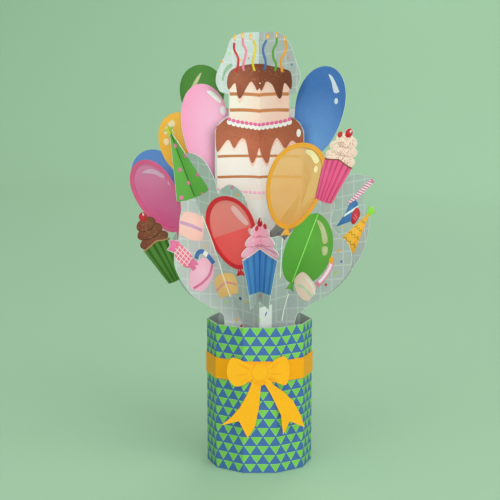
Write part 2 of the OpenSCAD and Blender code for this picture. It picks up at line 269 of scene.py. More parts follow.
class Ink(Enum):
    """The printed colours, some of them painted highlights and painted shade."""

    WHITE = Tint((232, 234, 230), 1, 1, 0.01)
    PALE = Tint((230, 234, 230), 1, 1, 0.02)
    RED_SHINE = Tint((244, 182, 188), 1, 1)
    # Pale pink: a painted highlight on the pink balloon, and the own colour of the candle's wax and the
    # straw's stripe.
    PINK_SHINE = Tint((240, 220, 232), 1, 1)
    MAUVE_SHINE = Tint((226, 170, 204), 1, 1)
    STAR = Tint((182, 188, 48))
    SHINE = Tint((232, 230, 222), 1, 1, 0.01)
    RED = Tint((222, 38, 50))
    ORANGE = Tint((246, 164, 48))
    MAGENTA = Tint((238, 98, 150))
    GREEN = Tint((92, 166, 58), 0.9, 1.08)
    GREEN_LIT = Tint((160, 230, 110))
    GREEN_SHINE = Tint((196, 198, 150))
    # PINK and BLUE deepen to their second colour as painted shade over the balloons.
    PINK = Tint((236, 184, 210), 1, 1, 0.03, (0.72, 0.5), (236, 150, 188))
    BLUE = Tint((104, 158, 222), 1, 1.05, 0.09, (0.4, 0.05), (66, 112, 180))
    BLUE_FAR = Tint((80, 134, 206), 0.9, 1.1)
    BLUE_SHINE = Tint((206, 214, 228), 1, 1)
    YELLOW = Tint((250, 178, 48), 0.92, 1.1)
    # A lighter copy of YELLOW for the rear balloon: painted light to make up for the shade at the back.
    YELLOW_FAR = Tint((252, 186, 52), 0.97, 1.16)
    YELLOW_SHINE = Tint((248, 226, 176), 1, 1)
    LEAF = Tint((64, 130, 40), 0.88, 1.1)
    HAT = Tint((100, 170, 72), 0.92, 1.06)
    # Painted shade along the hat's crease.
    HAT_LINE = Tint((60, 118, 44))
    HAT_DOT = Tint((222, 120, 156))
    LIME = Tint((148, 214, 66))
    CITRON = Tint((226, 200, 50))
    # MILK, CREAM, CHOC and CHOC_WARM carry painted shade: light on the left of the cake, deeper and warmer
    # to its right, where the fold turns from the light.
    MILK = Tint((236, 236, 232), 1, 1, 0.02, (0.3, 0.4), (236, 216, 204))
    CREAM = Tint((232, 228, 216), 1, 1, 0.02, (0.1, 0.5), (236, 198, 184))
    CHOC = Tint((156, 82, 56), 1, 1.05, 0.1, (0.15, 0.5), (110, 58, 38))
    CHOC_WARM = Tint((182, 98, 66), 1, 1.08, 0.1, (0.4, 0.4), (152, 82, 54))
    CARAMEL = Tint((196, 126, 76))
    SPRINKLE = Tint((206, 146, 108))
    FROST_PINK = Tint((248, 172, 200), 0.96, 1.16)
    FROST_PINK_LOW = Tint((220, 112, 152))
    FROST_CREAM = Tint((250, 218, 204), 0.95, 1.12)
    FROST_CREAM_LOW = Tint((226, 192, 172))
    FROST_CHOC = Tint((132, 70, 46), 0.88, 1.1)
    FROST_CHOC_LOW = Tint((92, 52, 36))
    WRAP_BLUE = Tint((82, 144, 212), 0.94, 1.05)
    WRAP_BLUE_LOW = Tint((62, 118, 184))
    WRAP_GREEN = Tint((84, 140, 50), 0.92, 1.08)
    WRAP_GREEN_LOW = Tint((58, 104, 38))
    WRAP_PINK = Tint((234, 94, 146), 0.95, 1.06)
    WRAP_PINK_LOW = Tint((206, 68, 118))
    CHERRY = Tint((208, 36, 48), 0.85, 1.12)
    # Painted shade under the chocolate drips, deeper again on the cake's right half.
    PEACH_SHADE = Tint((238, 216, 198), 1, 1, 0.03, (0.1, 0.5), (234, 190, 176))
    PEACH = Tint((246, 196, 186), 0.95, 1.12)
    MAUVE = Tint((206, 160, 196))
    ROSE = Tint((244, 178, 206), 0.95, 1.2)
    ROSE_LOW = Tint((224, 112, 158))
    CANDY = Tint((236, 112, 144), 0.92, 1.1)
    GOLD = Tint((240, 192, 120), 0.94, 1.1)
    GOLD_LOW = Tint((232, 158, 150))
    BISCUIT = Tint((240, 206, 188), 0.95, 1.12)
    BISCUIT_LOW = Tint((196, 214, 176))
    STRING = Tint((242, 240, 226), 1, 1)
    # Painted shade along a fold.
    SCORE = Tint((142, 150, 146))
    OLIVE = Tint((150, 128, 40))
    NAVY = Tint((66, 84, 128))
    PIPING = Tint((226, 104, 158))
    # Deep red over the foot of the red film: painted shade of the dark space behind it.
    RED_LOW = Tint((252, 88, 90), 0.97, 1.05)
    CANDLE = Tint((236, 132, 158))
    FLAME = Tint((250, 176, 60))
    HORN = Tint((60, 112, 180), 0.9, 1.1)
    VASE_GREEN = Tint((116, 192, 78), 0.97, 1.03)
    VASE_GREEN_LINE = Tint((140, 202, 102), 1, 1)
    BOW_SHADE = Tint((246, 160, 6), 0.98, 1.02)

    def material(self) -> bpy.types.Material:
        """Build this ink's material.

        Returns:
            The material, made once.
        """
        return self.value.material(f"ink_{self.name.lower()}")


# ---------------------------------------------------------------- outlines

@dataclass(frozen=True)
class Place:
    """A place on a flat sheet, with a lean to the right in degrees."""

    x: float
    y: float
    lean: float = 0.0

    def put(self, points: Outline) -> Outline:
        """Move points from this place's own axes to the sheet's.

        Args:
            points: Points about the place.

        Returns:
            Points on the sheet.
        """
        c, s = math.cos(math.radians(self.lean)), math.sin(math.radians(self.lean))
        return [(self.x + px * c + py * s, self.y - px * s + py * c) for px, py in points]


def along(tilt: float, reach: float) -> Place:
    """Find a place along a line through the apex.

    Args:
        tilt: Tilt of the line to the right, degrees.
        reach: Distance from the apex.

    Returns:
        The place, leaning as the line does.
    """
    a = math.radians(tilt)
    return Place(reach * math.sin(a), reach * math.cos(a), tilt)


def oval(x: float, y: float, rx: float, ry: float, lean: float = 0.0, count: int = 28) -> Outline:
    """Draw an oval.

    Args:
        x: Middle.
        y: Middle.
        rx: Half width.
        ry: Half height.
        lean: Lean to the right, degrees.
        count: Points.

    Returns:
        The outline.
    """
    steps = [math.tau * (i + 0.5) / count for i in range(count)]
    return Place(x, y, lean).put([(rx * math.cos(t), ry * math.sin(t)) for t in steps])


def smooth(points: Outline, closed: bool = True, steps: int = 5) -> Outline:
    """Round a run of points off as a Catmull-Rom curve.

    Args:
        points: Points to pass through.
        closed: Whether the last joins the first.
        steps: Points for each stretch.

    Returns:
        The finer run.
    """
    n = len(points)

    def pick(i: int) -> Vector:
        """Take a point, past the ends too."""
        return Vector(points[i % n] if closed else points[max(0, min(n - 1, i))])

    run: Outline = []
    for i in range(n if closed else n - 1):
        a, b, c, d = (pick(i + k) for k in (-1, 0, 1, 2))
        for k in range(steps):
            t = k / steps
            p = 0.5 * (2 * b + (c - a) * t + (2 * a - 5 * b + 4 * c - d) * t ** 2
                       + (3 * b - a - 3 * c + d) * t ** 3)
            run.append((p.x, p.y))
    return run if closed else run + [points[-1]]


def stroke(path: Outline, width: float, taper: bool = False) -> Outline:
    """Thicken a path.

    Args:
        path: Open run of points.
        width: Width.
        taper: Whether both ends come to a point.

    Returns:
        The outline.
    """
    left: Outline = []
    right: Outline = []
    last = len(path) - 1
    for i, (x, y) in enumerate(path):
        ax, ay = path[max(0, i - 1)]
        bx, by = path[min(last, i + 1)]
        size = math.hypot(bx - ax, by - ay) or 1.0
        half = width / 2
        if taper:
            half *= max(0.08, math.sin(math.pi * i / last))
        nx, ny = -(by - ay) / size * half, (bx - ax) / size * half
        left.append((x + nx, y + ny))
        right.append((x - nx, y - ny))
    return right + left[::-1]


def left_of(point: Point, a: Point, b: Point) -> float:
    """Measure how far left of the line from a to b a point lies, times the line's length."""
    return (b[0] - a[0]) * (point[1] - a[1]) - (b[1] - a[1]) * (point[0] - a[0])


def clipped(points: Outline, keep: Outline) -> Outline:
    """Cut an outline to a convex one.

    Args:
        points: Outline to cut.
        keep: Convex outline, either way round.

    Returns:
        What is left, perhaps nothing.
    """
    area = sum(a[0] * b[1] - b[0] * a[1] for a, b in zip(keep, keep[1:] + keep[:1]))
    ring = keep if area > 0 else keep[::-1]
    for a, b in zip(ring, ring[1:] + ring[:1]):
        out: Outline = []
        for p, q in zip(points, points[1:] + points[:1]):
            sp, sq = left_of(p, a, b), left_of(q, a, b)
            if sp >= 0:
                out.append(p)
            if sp * sq < 0:
                t = sp / (sp - sq)
                out.append((p[0] + (q[0] - p[0]) * t, p[1] + (q[1] - p[1]) * t))
        points = out
        if len(points) < 3:
            return []
    return points


def star(x: float, y: float, radius: float, count: int = 5, inner: float = 0.48,
         lean: float = 0.0) -> Outline:
    """Draw a star.

    Args:
        x: Middle.
        y: Middle.
        radius: Reach of its points.
        count: Number of points.
        inner: Inner reach over outer reach.
        lean: Lean to the right, degrees.

    Returns:
        The outline.
    """
    ring = [(radius * (inner if i % 2 else 1), math.pi * i / count) for i in range(2 * count)]
    return Place(x, y, lean).put([(r * math.sin(t), r * math.cos(t)) for r, t in ring])


# ---------------------------------------------------------------- folding

class Folding(Protocol):
    """Turns a flat blank into the folded shape."""

    face: float

    def cuts(self) -> list[tuple[Point, Point]]:
        """List the score lines.

        Returns:
            A point and a direction across for each line.
        """

    def matrix(self, x: float, y: float) -> Matrix:
        """Find the panel a point lies on.

        Args:
            x: Flat place.
            y: Flat place.

        Returns:
            Matrix from flat millimetres to metres in the frame.
        """


@dataclass(frozen=True)
class Score:
    """A score line through (x, y), tilted from the vertical, and its bend towards the viewer."""

    x: float
    y: float
    tilt: float
    bend: float

    def across(self, x: float, y: float) -> float:
        """Measure how far a point lies beyond the line.

        Args:
            x: Flat place.
            y: Flat place.

        Returns:
            Distance, positive beyond the line.
        """
        a = math.radians(self.tilt)
        return (x - self.x) * math.cos(a) - (y - self.y) * math.sin(a)

    def matrix(self) -> Matrix:
        """Turn about the line.

        Returns:
            The turn in flat millimetres.
        """
        spot = Matrix.Translation((self.x, self.y, 0))
        turn = (Matrix.Rotation(-math.radians(self.tilt), 4, "Z")
                @ Matrix.Rotation(-math.radians(self.bend), 4, "Y")
                @ Matrix.Rotation(math.radians(self.tilt), 4, "Z"))
        return spot @ turn @ spot.inverted()


@dataclass(frozen=True)
class FoldedSheet:
    """One folded sheet of the fan: its lean, its place in the stack and its score lines."""

    step: float
    lean: float
    left: tuple[Score, ...]
    right: tuple[Score, ...]
    apex_back: float = -2.0
    apex_z: float = 57.0
    gap: float = 0.9
    face: float = PAPER / 2

    def cuts(self) -> list[tuple[Point, Point]]:
        """List the score lines.

        Returns:
            A point and a direction across for each line.
        """
        lines: list[tuple[Point, Point]] = [((0.0, 0.0), (1.0, 0.0))]
        for sign, scores in ((-1, self.left), (1, self.right)):
            for s in scores[1:]:
                a = math.radians(s.tilt)
                lines.append(((sign * s.x, s.y), (sign * math.cos(a), -math.sin(a))))
        return lines

    def panel(self, side: int, depth: int) -> Matrix:
        """Place one panel.

        Args:
            side: Minus one for the left half, one for the right.
            depth: Number of score lines between the centre and the panel, at least one.

        Returns:
            Matrix from flat millimetres to metres in the frame.
        """
        mirror = Matrix.Diagonal((side, 1, 1, 1))
        turn = Matrix.Identity(4)
        for s in (self.left if side < 0 else self.right)[:depth]:
            turn = turn @ s.matrix()
        stand = (Matrix.Translation((0, self.apex_back + self.step * self.gap, self.apex_z))
                 @ Matrix.Rotation(math.radians(90 - self.lean), 4, "X"))
        return Matrix.Scale(MM, 4) @ stand @ mirror @ turn @ mirror

    def matrix(self, x: float, y: float) -> Matrix:
        """Find the panel a point lies on.

        Args:
            x: Flat place.
            y: Flat place.

        Returns:
            Matrix from flat millimetres to metres in the frame.
        """
        side = -1 if x < 0 else 1
        depth = 0
        for s in self.left if side < 0 else self.right:
            if s.across(abs(x), y) <= 0 and depth:
                break
            depth += 1
        return self.panel(side, depth)

    def panels(self) -> list[Matrix]:
        """List every panel.

        Returns:
            A matrix for each panel.
        """
        halves = ((-1, self.left), (1, self.right))
        return [self.panel(side, d + 1) for side, scores in halves for d in range(len(scores))]


def folded_evenly(step: float, lean: float, *scores: Score) -> FoldedSheet:
    """Fold a sheet alike on both halves.

    Args:
        step: Its place in the stack.
        lean: Its lean, degrees.
        scores: The score lines of one half, from the centre out.

    Returns:
        The folded sheet.
    """
    return FoldedSheet(step, lean, scores, scores)


@dataclass(frozen=True)
class VaseWrap:
    """The wall of the vase, unrolled from the middle of its front face."""

    sides: int = 10
    apothem: float = 30.434
    face: float = 0.0

    @property
    def side(self) -> float:
        """Width of one face."""
        return 2 * self.apothem * math.tan(math.pi / self.sides)

    def cuts(self) -> list[tuple[Point, Point]]:
        """List the corners.

        Returns:
            A point and a direction across for each corner.
        """
        half = self.sides // 2
        return [(((k + 0.5) * self.side, 0.0), (1.0, 0.0)) for k in range(-half - 1, half + 1)]

    def matrix(self, x: float, y: float) -> Matrix:
        """Find the face a point lies on.

        Args:
            x: Place around the wall.
            y: Height; not used.

        Returns:
            Matrix from flat millimetres to metres in the frame.
        """
        k = round(x / self.side)
        front = Matrix(((1, 0, 0, -k * self.side), (0, 0, -1, -self.apothem), (0, 1, 0, 0),
                        (0, 0, 0, 1)))
        return Matrix.Scale(MM, 4) @ Matrix.Rotation(math.tau * k / self.sides, 4, "Z") @ front


@dataclass(frozen=True)
class FlatFace:
    """An upright plane facing the front."""

    y: float
    z: float
    face: float = 0.0

    def cuts(self) -> list[tuple[Point, Point]]:
        """List the score lines.

        Returns:
            None of them.
        """
        return []

    def matrix(self, x: float, y: float) -> Matrix:
        """Place the plane.

        Args:
            x: Flat place; not used.
            y: Flat place; not used.

        Returns:
            Matrix from flat millimetres to metres in the frame.
        """
        stand = Matrix(((1, 0, 0, 0), (0, 0, -1, self.y), (0, 1, 0, self.z), (0, 0, 0, 1)))
        return Matrix.Scale(MM, 4) @ stand


# ---------------------------------------------------------------- printing

@dataclass
class Shape:
    """One printed shape."""

    outline: Outline
    ink: Ink
    layer: int
    back: bool


class Plate:
    """Collects the shapes printed on one blank, then presses and folds them."""

    def __init__(self, name: str, folding: Folding, slot: str) -> None:
        """Start a plate.

        Args:
            name: Name of the finished piece.
            folding: How the blank is folded.
            slot: Material slot of the blank; not used.
        """
        self.name = name
        self.folding = folding
        self.slot = slot
        self.shapes: list[Shape] = []
        self.inks: list[Ink] = []

    def add(self, outline: Outline, ink: Ink, layer: int = 1, back: bool = False) -> None:
        """Add a shape.

        Args:
            outline: Its outline.
            ink: Its colour.
            layer: Higher layers lie over lower ones.
            back: Whether the back of the sheet has it too.
        """
        if len(outline) < 3:
            return
        if ink not in self.inks:
            self.inks.append(ink)
        self.shapes.append(Shape(outline, ink, layer, back))

    def ring(self, outer: Outline, inner: Outline, ink: Ink, layer: int = 1, back: bool = False) -> None:
        """Add a ring as two halves.

        Args:
            outer: Its outer outline.
            inner: Its inner outline, of as many points.
            ink: Its colour.
            layer: Higher layers lie over lower ones.
            back: Whether the back of the sheet has it too.
        """
        half = len(outer) // 2
        self.add(outer[:half + 1] + inner[half::-1], ink, layer, back)
        self.add(outer[half:] + outer[:1] + inner[:1] + inner[:half - 1:-1], ink, layer, back)

    def line(self, path: Outline, width: float, ink: Ink, layer: int = 2, taper: bool = False,
             back: bool = False) -> None:
        """Add a stroke along a curve.

        Args:
            path: Points to pass through.
            width: Width.
            ink: Its colour.
            layer: Higher layers lie over lower ones.
            taper: Whether both ends come to a point.
            back: Whether the back of the sheet has it too.
        """
        run = smooth(path, False, 4) if len(path) > 2 else path
        self.add(stroke(run, width, taper), ink, layer, back)

    def blob(self, points: Outline, ink: Ink, layer: int = 1) -> None:
        """Add a rounded shape through some points."""
        self.add(smooth(points), ink, layer)

    def confetti(self, bits: tuple[Bit, ...], layer: int) -> None:
        """Add loose confetti.

        Args:
            bits: Middle, half width, half height, lean and ink of each.
            layer: Higher layers lie over lower ones.
        """
        for x, y, rx, ry, lean, ink in bits:
            self.add(oval(x, y, rx, ry, lean, 12), ink, layer)

    def dots(self, places: list[Point], radius: float, ink: Ink, layer: int = 2) -> None:
        """Add round spots.

        Args:
            places: Their middles.
            radius: Their radius.
            ink: Their colour.
            layer: Higher layers lie over lower ones.
        """
        for x, y in places:
            self.add(oval(x, y, radius, radius, 0, 12), ink, layer)

    def specks(self, keep: Outline, count: int, ink: Ink, seed: int, size: float = 0.5,
               layer: int = 4) -> None:
        """Strew short specks inside a convex outline.

        Args:
            keep: Where they may lie.
            count: How many are tried.
            ink: Their colour.
            seed: Seed of the strewing.
            size: Half length.
            layer: Higher layers lie over lower ones.
        """
        dice = random.Random(seed)
        xs, ys = [p[0] for p in keep], [p[1] for p in keep]
        for _ in range(count):
            x, y = dice.uniform(min(xs), max(xs)), dice.uniform(min(ys), max(ys))
            self.add(clipped(oval(x, y, size * 0.5, size, dice.uniform(0, 180), 6), keep), ink, layer)

    def _loop(self, mesh: bpy.types.Mesh, points: Outline, z: float) -> bmesh.types.BMesh:
        """Add one outline to the mesh in edit mode, as its last vertices.

        Args:
            mesh: The mesh.
            points: The outline.
            z: Height over the flat sheet.

        Returns:
            The mesh being edited.
        """
        bpy.ops.mesh.primitive_circle_add(vertices=len(points), radius=1.0, fill_type="NGON",
                                          calc_uvs=False)
        bm = bmesh.from_edit_mesh(mesh)
        bm.verts.ensure_lookup_table()
        for vert, (x, y) in zip(bm.verts[len(bm.verts) - len(points):], points):
            vert.co = (x, y, z)
        return bm

    def _lay(self, mesh: bpy.types.Mesh, shape: Shape, side: int) -> None:
        """Add one shape to one side of the sheet.

        Args:
            mesh: The mesh.
            shape: The shape.
            side: One for the front, minus one for the back.
        """
        z = side * (self.folding.face + INK_LIFT + INK_STEP * shape.layer)
        bm = self._loop(mesh, shape.outline, z)
        layer = bm.loops.layers.uv["print"]
        xs, ys = [p[0] for p in shape.outline], [p[1] for p in shape.outline]
        wide, tall = max(max(xs) - min(xs), 1e-3), max(max(ys) - min(ys), 1e-3)
        for f in bm.verts[len(bm.verts) - 1].link_faces:
            f.material_index = self.inks.index(shape.ink)
            f.normal_update()
            if f.normal.z * side < 0:
                f.normal_flip()
            for corner in f.loops:
                co = corner.vert.co
                corner[layer].uv = ((co.x - min(xs)) / wide, (co.y - min(ys)) / tall)
        bmesh.update_edit_mesh(mesh)

    def press(self) -> bpy.types.Object:
        """Print the shapes flat, cut them at the score lines and fold them.

        Returns:
            The finished piece.
        """
        bpy.ops.object.select_all(action="DESELECT")
        bpy.ops.mesh.primitive_circle_add(vertices=3, radius=1.0, calc_uvs=False)
        piece = bpy.context.object
        piece.name = piece.data.name = self.name
        mesh = piece.data
        mesh.uv_layers.new(name="print")
        for ink in self.inks:
            mesh.materials.append(ink.material())
        bpy.ops.object.mode_set(mode="EDIT")
        bpy.ops.mesh.select_all(action="SELECT")
        bpy.ops.mesh.delete(type="VERT")
        for shape in self.shapes:
            self._lay(mesh, shape, 1)
            if shape.back:
                self._lay(mesh, shape, -1)
        bpy.ops.mesh.select_all(action="SELECT")
        bpy.ops.mesh.quads_convert_to_tris(quad_method="BEAUTY", ngon_method="BEAUTY")
        for (x, y), (nx, ny) in self.folding.cuts():
            bpy.ops.mesh.select_all(action="SELECT")
            bpy.ops.mesh.bisect(plane_co=(x, y, 0), plane_no=(nx, ny, 0), threshold=1e-4)
            bpy.ops.mesh.edge_split(type="EDGE")
        bpy.ops.object.mode_set(mode="OBJECT")
        folded: dict[int, Vector] = {}
        for face in mesh.polygons:
            turn = self.folding.matrix(face.center.x, face.center.y)
            for i in face.vertices:
                if i not in folded:
                    folded[i] = turn @ mesh.vertices[i].co
        for i, co in folded.items():
            mesh.vertices[i].co = co
        mesh.update()
        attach(piece, "root")
        return piece


# ---------------------------------------------------------------- motifs

@dataclass(frozen=True)
class Balloon:
    """A balloon of the bouquet, as it is cut and printed."""

    place: Place
    wide: float
    tall: float
    ink: Ink
    ring: float = 0.0
    left: float = 0.0
    layer: int = 1
    egg: float = 0.16

    def outline(self, inset: float = 0.0, count: int = 48) -> Outline:
        """Draw its oval.

        Args:
            inset: Distance in from the cut edge.
            count: Points.

        Returns:
            The outline on the sheet.
        """
        steps = [math.tau * (i + 0.5) / count for i in range(count)]
        w, h = self.wide / 2 - inset, self.tall / 2 - inset
        if self.left:
            share = [2 * (self.left if math.sin(t) < 0 else 1 - self.left) for t in steps]
        else:
            share = [1 + self.egg * math.cos(t) for t in steps]
        return self.place.put([(w * math.sin(t) * s, h * math.cos(t)) for t, s in zip(steps, share)])

    def dress(self, plate: Plate) -> None:
        """Print the balloon and its knot.

        Args:
            plate: Plate of its sheet.
        """
        low = -self.tall / 2
        knot = [(-0.9, low + 0.8), (-3.5, low - 4.4), (-0.8, low - 3.6), (0.8, low - 3.6), (3.5, low - 4.4),
                (0.9, low + 0.8)]
        plate.add(self.place.put(knot), self.ink, 0, True)
        if self.ring:
            plate.ring(self.outline(), self.outline(self.ring), self.ink, self.layer, True)
        else:
            plate.add(self.outline(), self.ink, self.layer, True)


@dataclass(frozen=True)
class Cupcake:
    """A cupcake: frosting in three rolls over a pleated wrapper."""

    place: Place
    top: float
    foot: float
    tall: float
    frost: Ink
    frost_low: Ink
    wrap: Ink
    wrap_low: Ink
    fleck: Ink
    pleats: int = 5
    seed: int = 3
    rolls: tuple[float, float] = (0.84, 0.54)
    flecks: int = 26
    fleck_size: float = 0.55
    rim: Ink = Ink.FROST_CREAM
    bulge: float = 0.14

    def _sink(self, u: float) -> float:
        """Find the depth of the rounded foot at a place across, from minus one to one."""
        return self.bulge * self.foot * (u * u - 1)

    def dress(self, plate: Plate) -> None:
        """Print the cupcake.

        Args:
            plate: Plate of its sheet.
        """
        put = self.place.put
        arc = [(u * self.foot, self._sink(u)) for u in (i / 5 - 1 for i in range(11))]
        rim = [(self.top, self.tall), (0.0, self.tall + 2), (-self.top, self.tall)]
        rolls = [(3.2, 1.06, 4.6), (9.0, self.rolls[0], 4.6), (14.0, self.rolls[1], 4.4)]
        for i, (up, share, deep) in enumerate(rolls):
            y, rx = self.tall + up, share * self.top
            plate.add(put(oval(0, y, rx, deep)), self.frost, 2 + i, True)
            sag = [(-rx * 0.86, y - deep * 0.4), (-rx * 0.4, y - deep * 0.82), (rx * 0.3, y - deep * 0.84),
                   (rx * 0.86, y - deep * 0.4)]
            plate.line(put(sag), 0.7, self.frost_low, 5, True, True)
            roll = put(oval(0, y, rx * 0.9, deep * 0.8, 0, 12))
            plate.specks(roll, self.flecks - 6 * i, self.fleck, self.seed + i, self.fleck_size, 6)
        plate.add(put(oval(0, self.tall + 19, 2.9, 2.9)), Ink.CHERRY, 5, True)
        plate.add(put(oval(1.1, self.tall + 20.3, 0.6, 0.9)), Ink.SHINE, 6)
        plate.add(put(arc + rim), self.wrap, 7, True)
        for i in range(self.pleats):
            u = (i + 0.5) / self.pleats * 2 - 1
            half = 0.34 / self.pleats
            low, high = self.foot * 0.98, self.top * 0.97
            sink = self._sink(u) + 0.4
            lift = self.tall + 1.6 * (1 - abs(u))
            fold = [((u - half) * low, sink), ((u + half) * low, sink),
                    ((u + half * 1.2) * high, lift), ((u - half * 1.2) * high, lift)]
            plate.add(put(fold), self.wrap_low, 8, True)
        edge = [(-self.top * 0.99, self.tall), (-self.top * 0.5, self.tall + 0.8), (0, self.tall + 2),
                (self.top * 0.5, self.tall + 0.8), (self.top * 0.99, self.tall)]
        plate.line(put(edge), 0.8, self.rim, 9, False, True)


@dataclass(frozen=True)
class PartyHat:
    """A party hat: a cone with a star on its tip."""

    place: Place
    half: float
    tall: float
    ink: Ink
    tip: Ink
    sag: float = 0.16

    def outline(self) -> Outline:
        """Draw the cone.

        Returns:
            The outline on the sheet.
        """
        steps = [1 - i / 4.5 for i in range(10)]
        hem = [(u * self.half, -self.sag * self.half * (1 - u * u)) for u in steps]
        return self.place.put([(0.7, self.tall)] + hem + [(-0.7, self.tall)])

    def dress(self, plate: Plate) -> None:
        """Print the hat.

        Args:
            plate: Plate of its sheet.
        """
        plate.add(self.outline(), self.ink, 1, True)
        plate.add(self.place.put(star(0, self.tall + 2, 4.2)), self.tip, 3, True)


# ---------------------------------------------------------------- the sheets

@dataclass(frozen=True)
class Fan:
    """Angles shared by the folded sheets, in degrees."""

    ridge_tilt: float = 20.3
    lean: float = 14.6

    @property
    def ridge_flat(self) -> float:
        """Tilt of the ridge on the flat sheet."""
        return math.degrees(self._ridge().angle(self._spine()))

    @property
    def ridge_turn(self) -> float:
        """Turn of the inner panels about the centre fold."""
        ridge, spine = self._ridge(), self._spine()
        out = ridge - spine * ridge.dot(spine)
        a = math.radians(self.lean)
        return math.degrees(math.atan2(out.dot(Vector((0, math.cos(a), math.sin(a)))), out.x))

    def _ridge(self) -> Vector:
        """Direction of the ridge."""
        return Vector((math.tan(math.radians(self.ridge_tilt)), 0, 1)).normalized()

    def _spine(self) -> Vector:
        """Direction of the centre fold."""
        a = math.radians(self.lean)
        return Vector((0, -math.sin(a), math.cos(a)))


FAN = Fan()


@dataclass(frozen=True)
class CardFinish:
    """Grey card with a fine white grid, white at its cut edges, and some panels printed lighter as painted
    light.
    """

    rgb: Rgb = (168, 177, 175)
    grid: Rgb = (238, 244, 242)
    edge: Rgb = (226, 232, 226)
    pitch: float = 8.0
    width: float = 0.8
    strength: float = 0.19
    rough: float = 0.62
    mottle: float = 0.04
    facing: float = 0.9995

    def material(self, sheet: "Sheet") -> bpy.types.Material:
        """Build the card for one sheet, its grid laid out on the flat blank.

        Args:
            sheet: The sheet.

        Returns:
            The material.
        """
        shader = Shader(f"card_{sheet.node}")
        pale = dict(sheet.pale)
        face: object = 0.0
        rule: object = 0.0
        ground: object = linear(self.rgb)
        for index, panel in enumerate(sheet.folds.panels()):
            spot = panel.to_translation()
            across, up, out = (column.normalized() for column in panel.to_3x3().col)
            toward = shader.math("ABSOLUTE", shader.dot(shader.normal, out))
            here = shader.math("GREATER_THAN", toward, self.facing)
            face = shader.math("MAXIMUM", face, here)
            # Painted light: the listed panels get a lighter card, as if the light fell on them.
            if index in pale:
                ground = shader.mix(here, ground, linear(pale[index]))
            for axis in (across, up):
                along_axis = shader.dot(shader.coord, axis)
                place = shader.math("MULTIPLY_ADD", along_axis, 1 / MM, -axis.dot(spot) / MM)
                cell = shader.math("FLOORED_MODULO", place, self.pitch)
                near = shader.math("ABSOLUTE", shader.math("SUBTRACT", cell, self.pitch / 2))
                hit = shader.math("LESS_THAN", near, self.width / 2)
                rule = shader.math("MAXIMUM", rule, shader.math("MULTIPLY", hit, here))
        lined = shader.mix(shader.math("MULTIPLY", rule, self.strength), ground, linear(self.grid))
        edge: object = linear(self.edge)
        for ring in sheet.rings:
            middle = Vector((ring.place.x, ring.place.y, 0))
            away = shader.apart(shader.coord, sheet.folds.matrix(middle.x, middle.y) @ middle)
            near = shader.math("LESS_THAN", away, (ring.tall / 2 + 1) * MM)
            edge = shader.mix(near, edge, linear(ring.ink.value.rgb))
        return shader.paper(shader.mix(face, edge, lined), self.rough, self.mottle)


@dataclass(frozen=True)
class Sheet:
    """A folded sheet of the bouquet: its card and its print."""

    node: str
    slot: str
    folds: FoldedSheet
    rings: tuple[Balloon, ...] = ()
    # Panels with a lighter card colour: painted light.
    pale: tuple[tuple[int, Rgb], ...] = ()
    finish: CardFinish = CardFinish()

    def build(self) -> None:
        """Give the sheet its card."""
        bpy.data.objects[self.node].material_slots[0].material = self.finish.material(self)

    def dress(self) -> list[bpy.types.Object]:
        """Print the sheet.

        Returns:
            The finished print.
        """
        plate = Plate(f"{self.node}_print", self.folds, self.slot)
        self.draw(plate)
        return [plate.press()]

    def draw(self, plate: Plate) -> None:
        """Draw the print.

        Args:
            plate: Plate to draw on.
        """
        raise NotImplementedError


@dataclass(frozen=True)
class RearSheet(Sheet):
    """The nearly flat fold at the back, with three balloons."""

    node: str = "rear_sheet"
    slot: str = "rear_card"
    folds: FoldedSheet = folded_evenly(3, 19.1, Score(0, 0, 0, 5))

    def draw(self, plate: Plate) -> None:
        """Draw the three balloons.

        Args:
            plate: Plate to draw on.
        """
        # The yellow balloon's ink is printed lighter than YELLOW, as painted light.
        for place, ink, layer in ((Place(-36.3, 173, -3.3), Ink.LEAF, 1),
                                  (Place(-49.1, 141.2, -8.1), Ink.YELLOW_FAR, 2),
                                  (Place(-65.6, 116.4, -10.1), Ink.BLUE_FAR, 1)):
            Balloon(place, 28, 41, ink, layer=layer).dress(plate)
        plate.blob([(-37, 188.3), (-40, 184.7), (-43.6, 177.6), (-41.2, 178.3), (-38.6, 183)],
                   Ink.GREEN_SHINE, 3)
        plate.blob([(-60, 147), (-59, 152), (-55.5, 156.2), (-53.4, 153.6), (-56.6, 148)],
                   Ink.YELLOW_SHINE, 4)
        plate.add(oval(-58.8, 141.9, 1.7, 2.3), Ink.YELLOW_SHINE, 4)


